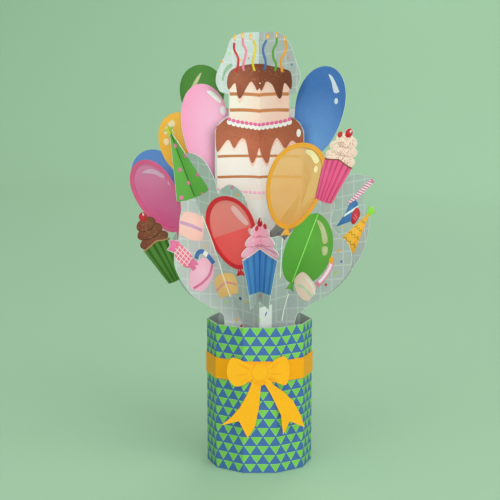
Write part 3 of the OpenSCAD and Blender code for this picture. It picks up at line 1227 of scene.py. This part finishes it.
@dataclass(frozen=True)
class BalloonSheet(Sheet):
    """The V fold behind the cake, with a balloon on either side."""

    node: str = "balloon_sheet"
    slot: str = "balloon_card"
    folds: FoldedSheet = folded_evenly(2, 17.1, Score(0, 0, 0, FAN.ridge_turn))

    def draw(self, plate: Plate) -> None:
        """Draw the two balloons.

        Args:
            plate: Plate to draw on.
        """
        # A pale patch of card beside the cake: painted light where the cake's shade falls.
        plate.add([(17, 146), (32, 144), (31, 159), (25, 160.1), (17, 160.1)], Ink.PALE, 0)
        Balloon(Place(-39.4, 143.6, -5.5), 35, 59, Ink.PINK).dress(plate)
        Balloon(Place(44.3, 155.5, 11.1), 35.5, 56, Ink.BLUE).dress(plate)
        # Painted highlights on the pink balloon, then on the blue one.
        plate.blob([(-39.7, 168.7), (-34.8, 168.9), (-29.2, 164.9), (-29.9, 162.7), (-35.5, 165.7)],
                   Ink.WHITE, 3)
        plate.add(oval(-27.4, 158.2, 2.2, 3), Ink.PINK_SHINE, 2)
        plate.add(oval(-27.4, 158.2, 1.5, 2.1), Ink.WHITE, 3)
        plate.blob([(51.5, 177.4), (54.6, 174.8), (58.5, 166.3), (58.2, 164.9), (55.1, 165.4), (53.5, 172)],
                   Ink.BLUE_SHINE, 3)
        plate.add(oval(56.6, 159.7, 1.3, 1.9), Ink.BLUE_SHINE, 3)


@dataclass(frozen=True)
class CupcakeSheet(Sheet):
    """The V fold at the very front, with the blue cupcake."""

    node: str = "cupcake_sheet"
    slot: str = "cupcake_card"
    folds: FoldedSheet = folded_evenly(-1, -FAN.lean, Score(0, 0, 0, 52))

    def draw(self, plate: Plate) -> None:
        """Draw the cupcake.

        Args:
            plate: Plate to draw on.
        """
        Cupcake(along(0, 53.5), 16.5, 10.8, 24, Ink.FROST_PINK, Ink.FROST_PINK_LOW, Ink.WRAP_BLUE,
                Ink.WRAP_BLUE_LOW, Ink.WHITE).dress(plate)
        plate.dots([(-3.4, 93.4), (5.2, 95.2)], 1.7, Ink.CHERRY, 7)
        plate.dots([(0.4, 49.4)], 1.1, Ink.HAT_DOT)


@dataclass(frozen=True)
class FrontSheet(Sheet):
    """The W fold at the front: hat, balloons, tall cupcake and sweets."""

    node: str = "front_sheet"
    slot: str = "front_card"
    folds: FoldedSheet = folded_evenly(0, -FAN.lean, Score(0, 0, 0, -FAN.ridge_turn),
                                       Score(0, 0, FAN.ridge_flat, 74))
    red: Balloon = Balloon(Place(-20, 84.8, -14.5), 36, 46, Ink.RED, 2.7)
    orange: Balloon = Balloon(Place(25.5, 113.2, 13.3), 43, 53, Ink.ORANGE, 2.7, layer=2)
    rings: tuple[Balloon, ...] = (red, orange)
    # The left outer panel is printed lighter: painted light.
    pale: tuple[tuple[int, Rgb], ...] = ((1, (181, 187, 185)),)
    hat: PartyHat = PartyHat(along(-FAN.ridge_flat, 114), 13, 39, Ink.HAT, Ink.STAR)

    def draw(self, plate: Plate) -> None:
        """Draw everything on the sheet.

        Args:
            plate: Plate to draw on.
        """
        self._balloons(plate)
        self._hat(plate)
        self._sweets(plate)
        self._confetti(plate)
        plate.add(oval(33.4, 92.2, 2, 3.6, 44, 14), Ink.LIME, 0)
        # A pale patch on the strip right of the centre fold: painted light.
        plate.add([(-0.3, 22), (8.8, 22), (8.8, 41), (-0.3, 41)], Ink.PALE)
        Cupcake(along(FAN.ridge_flat, 110.2), 11, 6.5, 24, Ink.FROST_CREAM, Ink.FROST_CREAM_LOW,
                Ink.WRAP_PINK, Ink.WRAP_PINK_LOW, Ink.CHOC, 5, 11, (0.98, 0.76), 110, 0.32,
                Ink.FROST_CHOC).dress(plate)
        plate.dots([(57.5, 139.4)], 1.9, Ink.CHERRY, 7)

    def _balloons(self, plate: Plate) -> None:
        """Draw the balloons and their strings.

        Args:
            plate: Plate to draw on.
        """
        self.red.dress(plate)
        self.orange.dress(plate)
        fold = along(FAN.ridge_flat, 79)
        Balloon(fold, 35, 45.4, Ink.GREEN, left=0.445).dress(plate)
        # Painted light along the green balloon's fold.
        plate.add(stroke(fold.put([(0, -22), (0, 22)]), 1.2), Ink.GREEN_LIT, 3)
        plate.blob([(41.7, 88.4), (45.6, 86), (48.4, 80.4), (49.3, 74.7), (46, 74), (44.6, 81.2)],
                   Ink.GREEN_SHINE, 3)
        plate.blob([(45.4, 71.7), (49.2, 71.4), (48.7, 67.2), (46, 66.9)], Ink.GREEN_SHINE, 3)
        plate.line([(16.1, 82.2), (15.6, 73.1), (15.2, 64.5), (14.8, 57)], 0.5, Ink.STRING)
        plate.line([(21.5, 44.8), (18.6, 37), (16.6, 28.7)], 0.8, Ink.STRING)

    def _hat(self, plate: Plate) -> None:
        """Draw the dotted hat, the painted shade along its crease, and its string.

        Args:
            plate: Plate to draw on.
        """
        self.hat.dress(plate)
        for x, y in ((-60.9, 131.7), (-53.5, 127.1), (-57.8, 117.3), (-44.5, 116.8), (-51.7, 110),
                     (-56.7, 100.6), (-41.2, 104.8), (-36.2, 109.5)):
            plate.add(clipped(oval(x, y, 1.4, 1.4, 0, 12), self.hat.outline()), Ink.HAT_DOT, 3)
        # Painted shade down the hat's crease.
        plate.add(stroke(self.hat.place.put([(0, -1), (0, 38)]), 1.2), Ink.HAT_LINE, 2)
        plate.line([(-41.5, 91.4), (-34.4, 75.9), (-31.5, 68.4), (-26.4, 54), (-21.5, 42.9)], 0.8,
                   Ink.STRING, 6)

    def _sweets(self, plate: Plate) -> None:
        """Draw the macarons, the wrapped sweet and the ribbons.

        Args:
            plate: Plate to draw on.
        """
        peach = [(-55.4, 91.5), (-51, 92.7), (-43.1, 90.9), (-40.7, 89), (-41.5, 78), (-43.7, 75.7),
                 (-50, 75.8), (-57.6, 78.9), (-57.8, 83.2), (-57.4, 87.6)]
        plate.blob(peach, Ink.PEACH)
        plate.add([(-57.5, 86.8), (-57.7, 84.9), (-50, 83.3), (-41.9, 81), (-42.1, 83.1), (-49.4, 85.5)],
                  Ink.MAUVE, 2)
        body = smooth([(-61.4, 68.6), (-59.3, 73), (-53.1, 70.2), (-49.3, 66.2), (-48.7, 62.5),
                       (-51.8, 58.8), (-57.4, 60.9), (-60.8, 65.4)])
        plate.add(body, Ink.CANDY, 3)
        sweet = Place(-55.2, 65.7, 128)
        for i in range(-3, 4):
            for path in ([(i * 2.3, -8), (i * 2.3, 8)], [(-8, i * 2.6), (8, i * 2.6)]):
                thread = stroke(sweet.put(path), 0.34)
                plate.add(clipped(thread, oval(-55.2, 65.7, 5.2, 7, 128)), Ink.WHITE, 4)
        far_end = [(-58, 74), (-62, 74.8), (-65, 74.2), (-63.9, 71.6), (-66, 68.7), (-62.8, 67.8),
                   (-58, 67.2)]
        near_end = [(-51.4, 60.1), (-49.8, 63.9), (-47.6, 64.5), (-44.3, 61.4), (-47, 60.3), (-45.9, 59),
                    (-48.6, 57), (-49.7, 58.3)]
        plate.add(far_end, Ink.ROSE_LOW, 2)
        plate.add(near_end, Ink.ROSE_LOW, 6)
        plate.line([(-46.2, 64.6), (-44.6, 68.4), (-41.4, 69.2), (-37.6, 66.8), (-33.6, 62.6)], 2.8,
                   Ink.HORN, 4)
        plate.line([(-40.8, 69), (-38.2, 67.3)], 3, Ink.PALE, 5)
        for outline, ink, band, low in (
                ([(-50.5, 55.9), (-46.2, 62.1), (-41.1, 65.6), (-37.3, 64.2), (-33.8, 60.1), (-33.8, 55.8),
                  (-36.6, 50.3), (-41, 45.7), (-46.7, 45.6), (-50.4, 48.4)], Ink.ROSE,
                 [(-34.7, 61.7), (-36.6, 55.7), (-41.7, 50.5), (-48, 46.7)], Ink.ROSE_LOW),
                ([(-32.8, 52.6), (-30.2, 56), (-25, 57.7), (-19.1, 58.5), (-16.5, 55.1), (-15.5, 50),
                  (-16.2, 46.3), (-22.4, 43.9), (-27.6, 42.1), (-30.2, 44.1), (-32.5, 48.3)], Ink.GOLD,
                 [(-31.5, 46.2), (-25.1, 51.4), (-16.5, 52.1)], Ink.GOLD_LOW),
                ([(25.6, 52.7), (29.1, 56.6), (32.5, 57.3), (37.2, 53.3), (40.6, 48.5), (40.4, 44.8),
                  (38, 42), (35.4, 40), (31, 41.4), (27, 46.3)], Ink.BISCUIT,
                 [(27.6, 49.6), (32, 48.2), (36, 44.4), (37.8, 42.6)], Ink.BISCUIT_LOW)):
            plate.blob(outline, ink, 3)
            plate.line(band, 1.6, low, 4)
        plate.line([(33.8, 54), (38.5, 48.6), (40.2, 43.3)], 0.7, Ink.PALE, 5)
        plate.line([(52, 63.7), (50.8, 58.7), (46.2, 52.8), (41.4, 48.9)], 3.3, Ink.CANDLE, 3)
        plate.line([(51.6, 62), (50.6, 58.8), (46.4, 53.4), (43, 50.6)], 1.9, Ink.PINK_SHINE, 4)
        plate.add(oval(51.9, 63.4, 1.5, 2.2), Ink.ORANGE, 5)

    def _confetti(self, plate: Plate) -> None:
        """Draw the loose confetti.

        Args:
            plate: Plate to draw on.
        """
        plate.confetti((
            (57, 68.7, 0.6, 1.7, 60, Ink.ORANGE), (47.9, 49, 0.9, 0.9, 0, Ink.CHERRY),
            (-19.5, 113.8, 0.8, 1.5, 30, Ink.HAT_DOT),
            (-15.7, 109.8, 0.9, 0.9, 0, Ink.ORANGE), (-13.9, 43.6, 1.1, 1.1, 0, Ink.NAVY),
            (-9.7, 42.4, 0.9, 0.9, 0, Ink.CITRON), (-16.5, 29.2, 0.6, 1.6, 40, Ink.YELLOW),
            (-13.4, 25.6, 0.9, 0.9, 0, Ink.CHERRY), (1.7, 49, 0.9, 0.9, 0, Ink.HAT_DOT),
            (4.5, 35.8, 0.5, 1.6, 20, Ink.HORN), (-0.6, 32.8, 0.6, 1.2, 70, Ink.GREEN_LIT),
            (54.6, 55.6, 0.6, 1.4, 30, Ink.LIME), (-40.2, 72.6, 0.7, 0.7, 0, Ink.CITRON),
            (58.8, 62.2, 0.8, 0.8, 0, Ink.HORN), (-24.4, 39.6, 0.7, 1.4, 60, Ink.GREEN_LIT)), 2)


@dataclass(frozen=True)
class CakeSheet(Sheet):
    """The fold with the cake, and on its outer panels the side pieces."""

    node: str = "cake_sheet"
    slot: str = "cake_card"
    inner: ClassVar[tuple[Score, ...]] = (Score(0, 0, 0, FAN.ridge_turn), Score(0, 0, FAN.ridge_flat, -68))
    folds: FoldedSheet = FoldedSheet(1, FAN.lean, (*inner, Score(75, 68, 33, 62)),
                                     (*inner, Score(66, 66, 37, 62)))
    magenta: Balloon = Balloon(Place(-73.6, 97.3, -37), 31, 49, Ink.MAGENTA, 2.7)
    rings: tuple[Balloon, ...] = (magenta,)
    # The left inner panel, behind the candles, is printed lighter: painted light.
    pale: tuple[tuple[int, Rgb], ...] = ((0, (193, 203, 201)),)

    def draw(self, plate: Plate) -> None:
        """Draw everything on the sheet.

        Args:
            plate: Plate to draw on.
        """
        self._tiers(plate)
        self._piping(plate)
        self._candles(plate)
        self.magenta.dress(plate)
        foot = Place(-75, 68, -33).put([(0, -27)])[0]
        Cupcake(Place(foot[0], foot[1], -33), 10.5, 5.5, 25, Ink.FROST_CHOC, Ink.FROST_CHOC_LOW,
                Ink.WRAP_GREEN, Ink.WRAP_GREEN_LOW, Ink.SPRINKLE, 4, 23, (0.94, 0.72), 44, 0.32,
                Ink.SPRINKLE).dress(plate)
        self._right_side(plate)

    def _tiers(self, plate: Plate) -> None:
        """Draw the two tiers with their stripes and chocolate.

        Args:
            plate: Plate to draw on.
        """
        plate.add([(-14.4, 62), (14.4, 62), (29.4, 93), (31.4, 106), (-31.4, 106), (-29.4, 93)],
                  Ink.PALE, 0, True)
        lower = [(-31.4, 104), (31.4, 104), (31.4, 143), (-31.4, 143)]
        upper = [(-22.4, 146), (22.4, 146), (22.4, 182), (-22.4, 182)]
        plate.add(lower, Ink.MILK, 1, True)
        plate.add(upper, Ink.CREAM, 1, True)
        for half, low, high, thick in ((22.2, 168.3, 170.5, 2.1), (22.2, 158.2, 160.3, 2.1),
                                       (31.2, 128.2, 131.5, 1.6), (31.2, 115.4, 118.4, 1.6)):
            mid = (low + high) / 2 + 0.4
            path = [(-half, low), (-half / 2, mid), (0, high), (half / 2, mid), (half, low)]
            plate.line(path, thick, Ink.CARAMEL, 3, False, True)
        top = [(-24, 178.2), (-21.7, 183), (-15.5, 186.7), (-8.3, 189), (0.4, 190.6), (8.6, 188.1),
               (17.1, 185.3), (23.2, 182.4), (24.4, 177.3), (24.4, 172.9), (23.4, 171.1), (19.4, 175.7),
               (18, 172.6), (17, 167.5), (15.6, 166.3), (13.7, 167.9), (10, 175.7), (5.7, 178.4),
               (3.8, 175.8), (1.8, 173), (0.2, 175.2), (-1.8, 173.2), (-3.5, 175.8), (-6.4, 178.3),
               (-9.7, 174.1), (-13.1, 168), (-15, 166.4), (-16.4, 167.6), (-17.4, 172.3), (-18.6, 175.8),
               (-22.6, 171.2), (-24.2, 173)]
        plate.add(smooth(top, True, 3), Ink.CHOC, 4, True)
        # Painted shade under the drips of the top tier.
        plate.add(clipped([(x, y - 3) for x, y in smooth(top, True, 3)], upper), Ink.PEACH_SHADE, 2)
        plate.specks(oval(0, 183, 20, 4.6, 0, 16), 60, Ink.SPRINKLE, 5, 0.35, 5)
        # A painted highlight on the chocolate.
        plate.add(oval(0.8, 178, 0.5, 0.5, 0, 10), Ink.WHITE, 5)
        low_top = [(-32, 132.3), (-32.4, 144.4), (-28.8, 149.4), (-22.9, 153.6), (-18.6, 150.4),
                   (-0.5, 148.9), (18.3, 150.4), (23.3, 153.6), (29.6, 149), (32.4, 142.9), (32.4, 134.4),
                   (29.1, 135.5), (24.1, 138.9), (19.5, 134.4), (15.7, 139.2), (12.7, 141.7), (8.9, 134.9),
                   (7.6, 128.5), (5.5, 126.6), (2, 132), (-0.1, 137.3), (-2.3, 131.2), (-5.3, 126.6),
                   (-7.9, 130.6), (-10.1, 139.8), (-12.6, 141.7), (-15.6, 139.2), (-19, 134.5),
                   (-22, 138.5), (-24.5, 138.9), (-30, 131.9)]
        plate.add(smooth(low_top, True, 3), Ink.CHOC_WARM, 4, True)
        # Painted shade under the drips of the lower tier.
        plate.add(clipped([(x, y - 2) for x, y in smooth(low_top, True, 3)], lower), Ink.PEACH_SHADE, 2)
        plate.specks([(-30, 141), (30, 141), (26, 148), (-26, 148)], 50, Ink.CHOC, 8, 0.5, 5)
        # A painted highlight on the lower chocolate.
        plate.add(oval(29.3, 143, 1.6, 2.5), Ink.WHITE, 6)

    def _piping(self, plate: Plate) -> None:
        """Draw the piped borders of the tiers.

        Args:
            plate: Plate to draw on.
        """
        count = 15
        for i in range(count):
            x = -22.6 + 45.2 * i / (count - 1)
            y = 151.2 + 0.9 * abs(x / 22.6) ** 6
            plate.add(oval(x, y - 1.5, 1.8, 1.7, 0, 14), Ink.WHITE, 5, True)
            plate.add(oval(x, y + 0.3, 1.5, 1.2, 0, 14), Ink.PIPING, 6, True)
        for i in range(19):
            x = -30.6 + 61.2 * i / 18
            plate.add(oval(x, 108.4 - 0.6 * abs(x / 31), 1.4, 1, 0, 12), Ink.ROSE, 4)
        plate.line([(-31, 106.6), (0, 107), (31, 106.6)], 0.8, Ink.WHITE, 5)

    def _candles(self, plate: Plate) -> None:
        """Draw the curled candles, their flames and the bits around them.

        Args:
            plate: Plate to draw on.
        """
        paths = (
            (Ink.CHERRY, [(-18.9, 201.2), (-19.1, 197.2), (-16.5, 192.7), (-16, 189.5), (-17.2, 182.8)]),
            (Ink.CANDLE, [(-12.6, 205.1), (-12.4, 201.4), (-10.2, 197.7), (-11, 192.7), (-12.4, 187.6),
                          (-11.7, 184.4)]),
            (Ink.CITRON, [(-4.9, 205.1), (-3, 201.7), (-3.5, 197.5), (-4.7, 192.8), (-4.9, 188.7),
                          (-3.5, 185.6)]),
            (Ink.HORN, [(5.7, 204.9), (3.6, 201.6), (3.3, 197.5), (4.7, 192.8), (5, 188.7), (3.5, 186)]),
            (Ink.GREEN, [(13.4, 205), (12.9, 201.4), (10.7, 197.6), (11, 192.7), (12.9, 188.3),
                         (12.1, 184.4)]),
            (Ink.ORANGE, [(19.8, 202.7), (20.2, 199), (19.5, 194.7), (16.9, 191.8), (16.4, 187.8),
                          (17.6, 182.8)]))
        for ink, path in paths:
            plate.line(path, 1.7, ink, 6, False, True)
        # Painted shade along the centre fold behind the candles.
        plate.line([(0, 190), (0, 207)], 0.5, Ink.SCORE, 0)
        for x, y in ((-18.6, 204.5), (-12.7, 206.9), (-6.5, 207.1), (6.7, 207.2), (13.3, 207.2),
                     (19.1, 203.9)):
            plate.add(oval(x, y, 1.1, 1.9, 0, 14), Ink.FLAME, 7, True)
            plate.add(oval(x, y - 0.5, 0.35, 0.7, 0, 10), Ink.SHINE, 8)
        plate.confetti((
            (-28, 188, 0.8, 0.8, 0, Ink.ORANGE), (-14.3, 191, 0.7, 0.7, 0, Ink.YELLOW),
            (-8.3, 193, 0.6, 0.6, 0, Ink.ROSE_LOW), (21.6, 191.7, 0.7, 1.2, 20, Ink.CANDLE),
            (-22.6, 194, 0.5, 1.3, 40, Ink.GREEN_LIT), (24.4, 186.6, 0.7, 0.7, 0, Ink.HORN)), 4)

    def _right_side(self, plate: Plate) -> None:
        """Draw the candle, the horn and the small hat.

        Args:
            plate: Plate to draw on.
        """
        spot = Place(74, 101, 54)
        wax = spot.put([(-1.7, -12), (1.7, -12), (1.7, 9.6), (-1.7, 9.6)])
        plate.add(wax, Ink.PINK_SHINE, 2, True)
        for i in range(13):
            low = -14 + 1.85 * i
            stripe = [(-2, low), (2, low + 1.9), (2, low + 2.9), (-2, low + 1)]
            plate.add(clipped(spot.put(stripe), wax), Ink.ROSE_LOW, 3, True)
        plate.add(spot.put([(-1.7, 8.4), (1.7, 8.4), (1.7, 9.6), (-1.7, 9.6)]), Ink.ROSE_LOW, 4, True)
        horn = [(55.4, 81.4), (66, 82.9), (70.9, 91.4), (71.2, 93.8), (69.2, 96.1), (64.8, 94.5),
                (62.6, 89.9)]
        plate.add(horn, Ink.HORN, 4)
        plate.add([(60.4, 86.6), (70.9, 90.4), (71.2, 92.2), (61.6, 88.4)], Ink.WHITE, 5)
        mouth = [(70.9, 90.9), (72.7, 85.6), (68.2, 80.5), (66, 83.4), (67.6, 89)]
        plate.blob(mouth, Ink.CHERRY, 6)
        for t in (0.3, 0.6):
            plate.line([(66.6 + 3 * t, 84 + 5 * t), (68.6 + 3.4 * t, 81.6 + 4 * t)], 0.4, Ink.CANDLE, 7)
        hat = PartyHat(Place(62.3, 66.6, 42.4), 7.6, 25.3, Ink.YELLOW, Ink.LIME)
        hat.dress(plate)
        for y, half in ((4, 6.2), (9, 4.7), (14, 3.2), (19, 1.7)):
            wave = [(-half + 2 * half * i / 6, y + (0.8 if i % 2 else -0.8)) for i in range(7)]
            plate.add(clipped(stroke(hat.place.put(wave), 0.6), hat.outline()), Ink.OLIVE, 2)
        plate.dots([(59.6, 80.6)], 0.8, Ink.CITRON, 5)


# ---------------------------------------------------------------- vase, ribbon and windows

@dataclass(frozen=True)
class VasePattern:
    """Sizes of the triangle print on the vase."""

    rows: int = 16
    row: float = 5.5
    around: int = 26
    shift: float = 1.9
    half: float = 3.5
    outer: tuple[float, float, float] = (0.3, 0.15, 0.0)
    inner: tuple[float, float, float] = (1.1, 0.55, 0.7)

    def triangle(self, u: float, r: int, inset: tuple[float, float, float]) -> Outline:
        """Draw one triangle, its point down.

        Args:
            u: Middle, around the wall.
            r: Row, from the foot of the vase.
            inset: Distances in from the cell at the point, the base and the sides.

        Returns:
            The outline.
        """
        low, high = r * self.row + inset[0], (r + 1) * self.row - inset[1]
        return [(u, low), (u + self.half - inset[2], high), (u - self.half + inset[2], high)]


@dataclass(frozen=True)
class Vase:
    """The ten-sided vase with its triangle print, band and bow."""

    wrap: VaseWrap = VaseWrap()
    pattern: VasePattern = VasePattern()
    bow_face: FlatFace = FlatFace(-31.534, 61.55)
    outside: Rgb = (64, 104, 164)
    inside: Rgb = (214, 220, 216)
    edge: Rgb = (236, 240, 234)
    plain: tuple[tuple[str, Rgb], ...] = (
        ("vase_floor", (184, 200, 192)), ("ribbon_band", (244, 160, 2)), ("ribbon_bow", (248, 172, 10)))
    wall_out: float = 0.0302
    wall_in: float = -0.002
    wall_rough: float = 0.5
    wall_mottle: float = 0.05
    plain_rough: float = 0.52
    plain_mottle: float = 0.04

    def build(self) -> None:
        """Give the vase, its floor, the band and the bow their card."""
        shader = Shader("card_vase")
        level = shader.vector("MULTIPLY", shader.coord, (1, 1, 0)).outputs[0]
        out = shader.dot(level, shader.normal)
        outer = shader.math("GREATER_THAN", out, self.wall_out)
        inner = shader.math("LESS_THAN", out, self.wall_in)
        bare = shader.mix(inner, linear(self.edge), linear(self.inside))
        bpy.data.objects["vase"].material_slots[0].material = shader.paper(
            shader.mix(outer, bare, linear(self.outside)), self.wall_rough, self.wall_mottle)
        for node, rgb in self.plain:
            paper = Shader(f"card_{node}").paper(linear(rgb), self.plain_rough, self.plain_mottle)
            bpy.data.objects[node].material_slots[0].material = paper

    def dress(self) -> list[bpy.types.Object]:
        """Print the triangles and the folds of the bow in painted shade.

        Returns:
            The finished prints.
        """
        p = self.pattern
        plate = Plate("vase_print", self.wrap, "vase_card")
        pitch = self.wrap.side * self.wrap.sides / p.around
        for r in range(p.rows):
            for k in range(-p.around // 2, p.around // 2):
                u = k * pitch + (p.shift if r % 2 == 0 else -p.shift)
                plate.add(p.triangle(u, r, p.outer), Ink.VASE_GREEN_LINE, 0)
                plate.add(p.triangle(u, r, p.inner), Ink.VASE_GREEN, 1)
        return [plate.press(), self._bow()]

    def _bow(self) -> bpy.types.Object:
        """Print the folds of the bow in painted shade.

        Returns:
            The finished print.
        """
        plate = Plate("ribbon_bow_print", self.bow_face, "ribbon_card")
        for path in ([(-5.6, 1.4), (-9, 3.2), (-13, 5.6)], [(-5.8, -0.8), (-9.6, -1.4), (-14, -1.8)],
                     [(-5.6, -2.8), (-8.6, -4.6), (-11.4, -6)], [(5.8, 1.6), (8.6, 4), (12, 6.6)],
                     [(5.8, -0.6), (9.4, -1), (13, -1)], [(5.6, -2.4), (8.6, -4), (11.8, -5.6)]):
            plate.line(path, 1.1, Ink.BOW_SHADE, 1, True)
        plate.add([(-3.2, -5), (0, -5.9), (3.2, -5), (4, -7), (0.4, -8.4), (-3.8, -7)], Ink.BOW_SHADE, 0)
        plate.ring(oval(0, 0, 5.1, 5.6, 0, 32), oval(0, 0, 4.5, 5, 0, 32), Ink.BOW_SHADE, 1)
        return plate.press()


@dataclass(frozen=True)
class Film:
    """Tinted film behind a ring balloon, deeper at its foot as painted shade, and the shine printed on it.
    """

    name: str
    rgb: Rgb
    # low is the colour at the film's foot, and fill an outline printed over the foot: both painted shade.
    low: Rgb
    span: tuple[float, float]
    alpha: float
    folds: FoldedSheet
    ink: Ink
    streak: Outline
    spot: Point
    fill: tuple[Point, ...] = ()
    rough: float = 0.25
    cloud: float = 60.0
    cloud_share: float = 0.3
    behind: float = -0.35

    def build(self) -> None:
        """Give the film its finish, deeper towards its foot as painted shade of the space behind it."""
        shader = Shader(f"film_{self.name}_window")
        foot, head = self.span
        height = shader.dot(shader.coord, Vector((0, 0, 1)))
        share = shader.math("DIVIDE", shader.math("SUBTRACT", height, foot), head - foot)
        centred = shader.math("SUBTRACT", share, self.cloud_share / 2)
        share = shader.math("MULTIPLY_ADD", shader.noise(self.cloud), self.cloud_share, centred)
        share.node.use_clamp = True
        colour = shader.mix(share, linear(self.low), linear(self.rgb))
        for socket, value in (("Base Color", colour), ("Roughness", self.rough), ("Alpha", self.alpha)):
            shader.feed(shader.surface.inputs[socket], value)
        bpy.data.objects[f"{self.name}_window"].material_slots[0].material = shader.material

    def dress(self) -> bpy.types.Object:
        """Print the shine on the film.

        Returns:
            The finished print.
        """
        plate = Plate(f"{self.name}_shine", replace(self.folds, face=self.behind), f"{self.name}_film")
        # Painted shade over the foot of the film.
        plate.add(list(self.fill), Ink.RED_LOW, 0)
        plate.blob(self.streak, self.ink, 2)
        plate.add(oval(*self.spot, 1.5, 2), self.ink, 2)
        return plate.press()


@dataclass(frozen=True)
class Windows:
    """The three film windows and the shine printed on them."""

    films: tuple[Film, ...] = (
        Film("red", (252, 140, 136), (250, 118, 118), (0.12, 0.16), 0.85, FrontSheet.folds, Ink.RED_SHINE,
             [(-19.3, 102.2), (-15.4, 100.3), (-8.4, 93.8), (-11, 92.1), (-17.1, 95.9), (-20.6, 99.7)],
             (-7, 88.8), tuple(clipped(FrontSheet.red.outline(2.3),
                                       [(-45, 72.1), (-45, 30), (10, 30), (10, 102)]))),
        Film("orange", (250, 196, 122), (246, 176, 84), (0.15, 0.2), 0.55, FrontSheet.folds,
             Ink.YELLOW_SHINE,
             [(31.6, 133.6), (36.6, 133.4), (40.6, 130), (42.8, 125.4), (39.6, 124.6), (36.4, 129.4)],
             (40.4, 120.8)),
        Film("magenta", (238, 136, 184), (232, 62, 142), (0.135, 0.18), 0.88, CakeSheet.folds,
             Ink.MAUVE_SHINE,
             [(-85.4, 109.6), (-81.6, 113.2), (-75.4, 114), (-68.6, 111.5), (-70.5, 109.8), (-77.2, 111.2)],
             (-65.2, 108.2)))

    def build(self) -> None:
        """Give the films their finish."""
        for film in self.films:
            film.build()

    def dress(self) -> list[bpy.types.Object]:
        """Print the shine on the films."""
        return [film.dress() for film in self.films]


# ---------------------------------------------------------------- studio

class LampKind(Enum):
    """Blender's kinds of the lamps in use."""

    SOFT = "AREA"
    BEAM = "SPOT"


@dataclass(frozen=True)
class Lamp:
    """One lamp of the studio, turned to the card."""

    kind: LampKind
    name: str
    spot: tuple[float, float, float]
    size: float
    watts: float
    aim: tuple[float, float, float] = (0, 0, 0.14)
    cone: float = 26.0
    blend: float = 0.6

    def build(self) -> None:
        """Place the lamp."""
        bpy.ops.object.light_add(type=self.kind.value, location=self.spot)
        lamp = bpy.context.object
        lamp.name = f"studio_{self.name}"
        lamp.data.energy = self.watts
        lamp.rotation_euler = (Vector(self.aim) - Vector(self.spot)).to_track_quat("-Z", "Y").to_euler()
        if self.kind is LampKind.SOFT:
            lamp.data.size = self.size
        else:
            lamp.data.shadow_soft_size = self.size
            lamp.data.spot_size = math.radians(self.cone)
            lamp.data.spot_blend = self.blend


@dataclass(frozen=True)
class Studio:
    """Pale cove, soft lights and the camera."""

    cove: Rgb = (162, 198, 166)
    cove_rough: float = 0.85
    cove_mottle: float = 0.01
    radius: float = 3.4
    flat: float = 1.8
    rise: float = 0.9
    under: float = -0.0002
    rings: int = 16
    ring_width: float = 0.1
    sky: float = 0.6
    lamps: tuple[Lamp, ...] = (
        Lamp(LampKind.SOFT, "key", (1.3, -1.65, 1.35), 1.6, 17.0),
        Lamp(LampKind.SOFT, "side", (1.9, -0.7, 0.75), 0.8, 6.0),
        Lamp(LampKind.SOFT, "fill", (-1.4, -1.55, 1.1), 1.4, 6.0),
        Lamp(LampKind.SOFT, "top", (0.0, -0.9, 1.75), 1.2, 6.0),
        Lamp(LampKind.SOFT, "back", (0.7, 2.3, 1.4), 1.5, 16.0),
        Lamp(LampKind.BEAM, "front", (0.0, -1.95, 0.45), 0.3, 20.0),
        Lamp(LampKind.BEAM, "lens", (-0.027, -1.9, 0.38), 0.15, 26.0))
    eye: tuple[float, float, float] = (-0.00578, -0.8073, 0.2425)
    eye_tilt: float = 82.06
    lens: float = 96.93
    sensor: float = 36.0

    def build(self) -> None:
        """Set up the cove, the lights and the camera."""
        self._cove()
        self._lights()
        self._camera()

    def _cove(self) -> None:
        """Model a wide round floor that curves up at its rim."""
        bpy.ops.object.select_all(action="DESELECT")
        bpy.ops.mesh.primitive_circle_add(vertices=128, radius=self.radius, fill_type="NGON")
        floor = bpy.context.object
        floor.name = "studio_floor"
        bpy.ops.object.mode_set(mode="EDIT")
        bpy.ops.mesh.select_all(action="SELECT")
        for _ in range(self.rings):
            bpy.ops.mesh.inset(thickness=self.ring_width)
        bpy.ops.object.mode_set(mode="OBJECT")
        for vert in floor.data.vertices:
            over = max(0.0, math.hypot(vert.co.x, vert.co.y) - self.flat)
            vert.co.z = self.under + self.rise * over ** 2
        bpy.ops.object.shade_smooth()
        paper = Shader("studio_paper").paper(linear(self.cove), self.cove_rough, self.cove_mottle)
        floor.data.materials.append(paper)

    def _lights(self) -> None:
        """Place the lamps and the sky."""
        for lamp in self.lamps:
            lamp.build()
        world = bpy.data.worlds.new("studio_sky")
        world.use_nodes = True
        sky = world.node_tree.nodes["Background"]
        sky.inputs["Color"].default_value = (1, 1, 1, 1)
        sky.inputs["Strength"].default_value = self.sky
        bpy.context.scene.world = world
        bpy.context.scene.view_settings.view_transform = "Standard"

    def _camera(self) -> None:
        """Place the camera at the photo's angle."""
        bpy.ops.object.camera_add(location=self.eye, rotation=(math.radians(self.eye_tilt), 0, 0))
        camera = bpy.context.object
        camera.name = "studio_camera"
        camera.data.sensor_width = self.sensor
        camera.data.lens = self.lens
        bpy.context.scene.camera = camera


def main() -> None:
    """Dress every piece, set up the studio and report."""
    logging.basicConfig(level=logging.INFO, format="%(message)s")
    parts = (RearSheet(), BalloonSheet(), CakeSheet(), FrontSheet(), CupcakeSheet(), Vase(), Windows())
    for part in parts:
        part.build()
        for piece in part.dress():
            LOG.info("%s: %d faces, %d inks", piece.name, len(piece.data.polygons),
                     len(piece.data.materials))
    Studio().build()


if __name__ == "__main__":
    main()
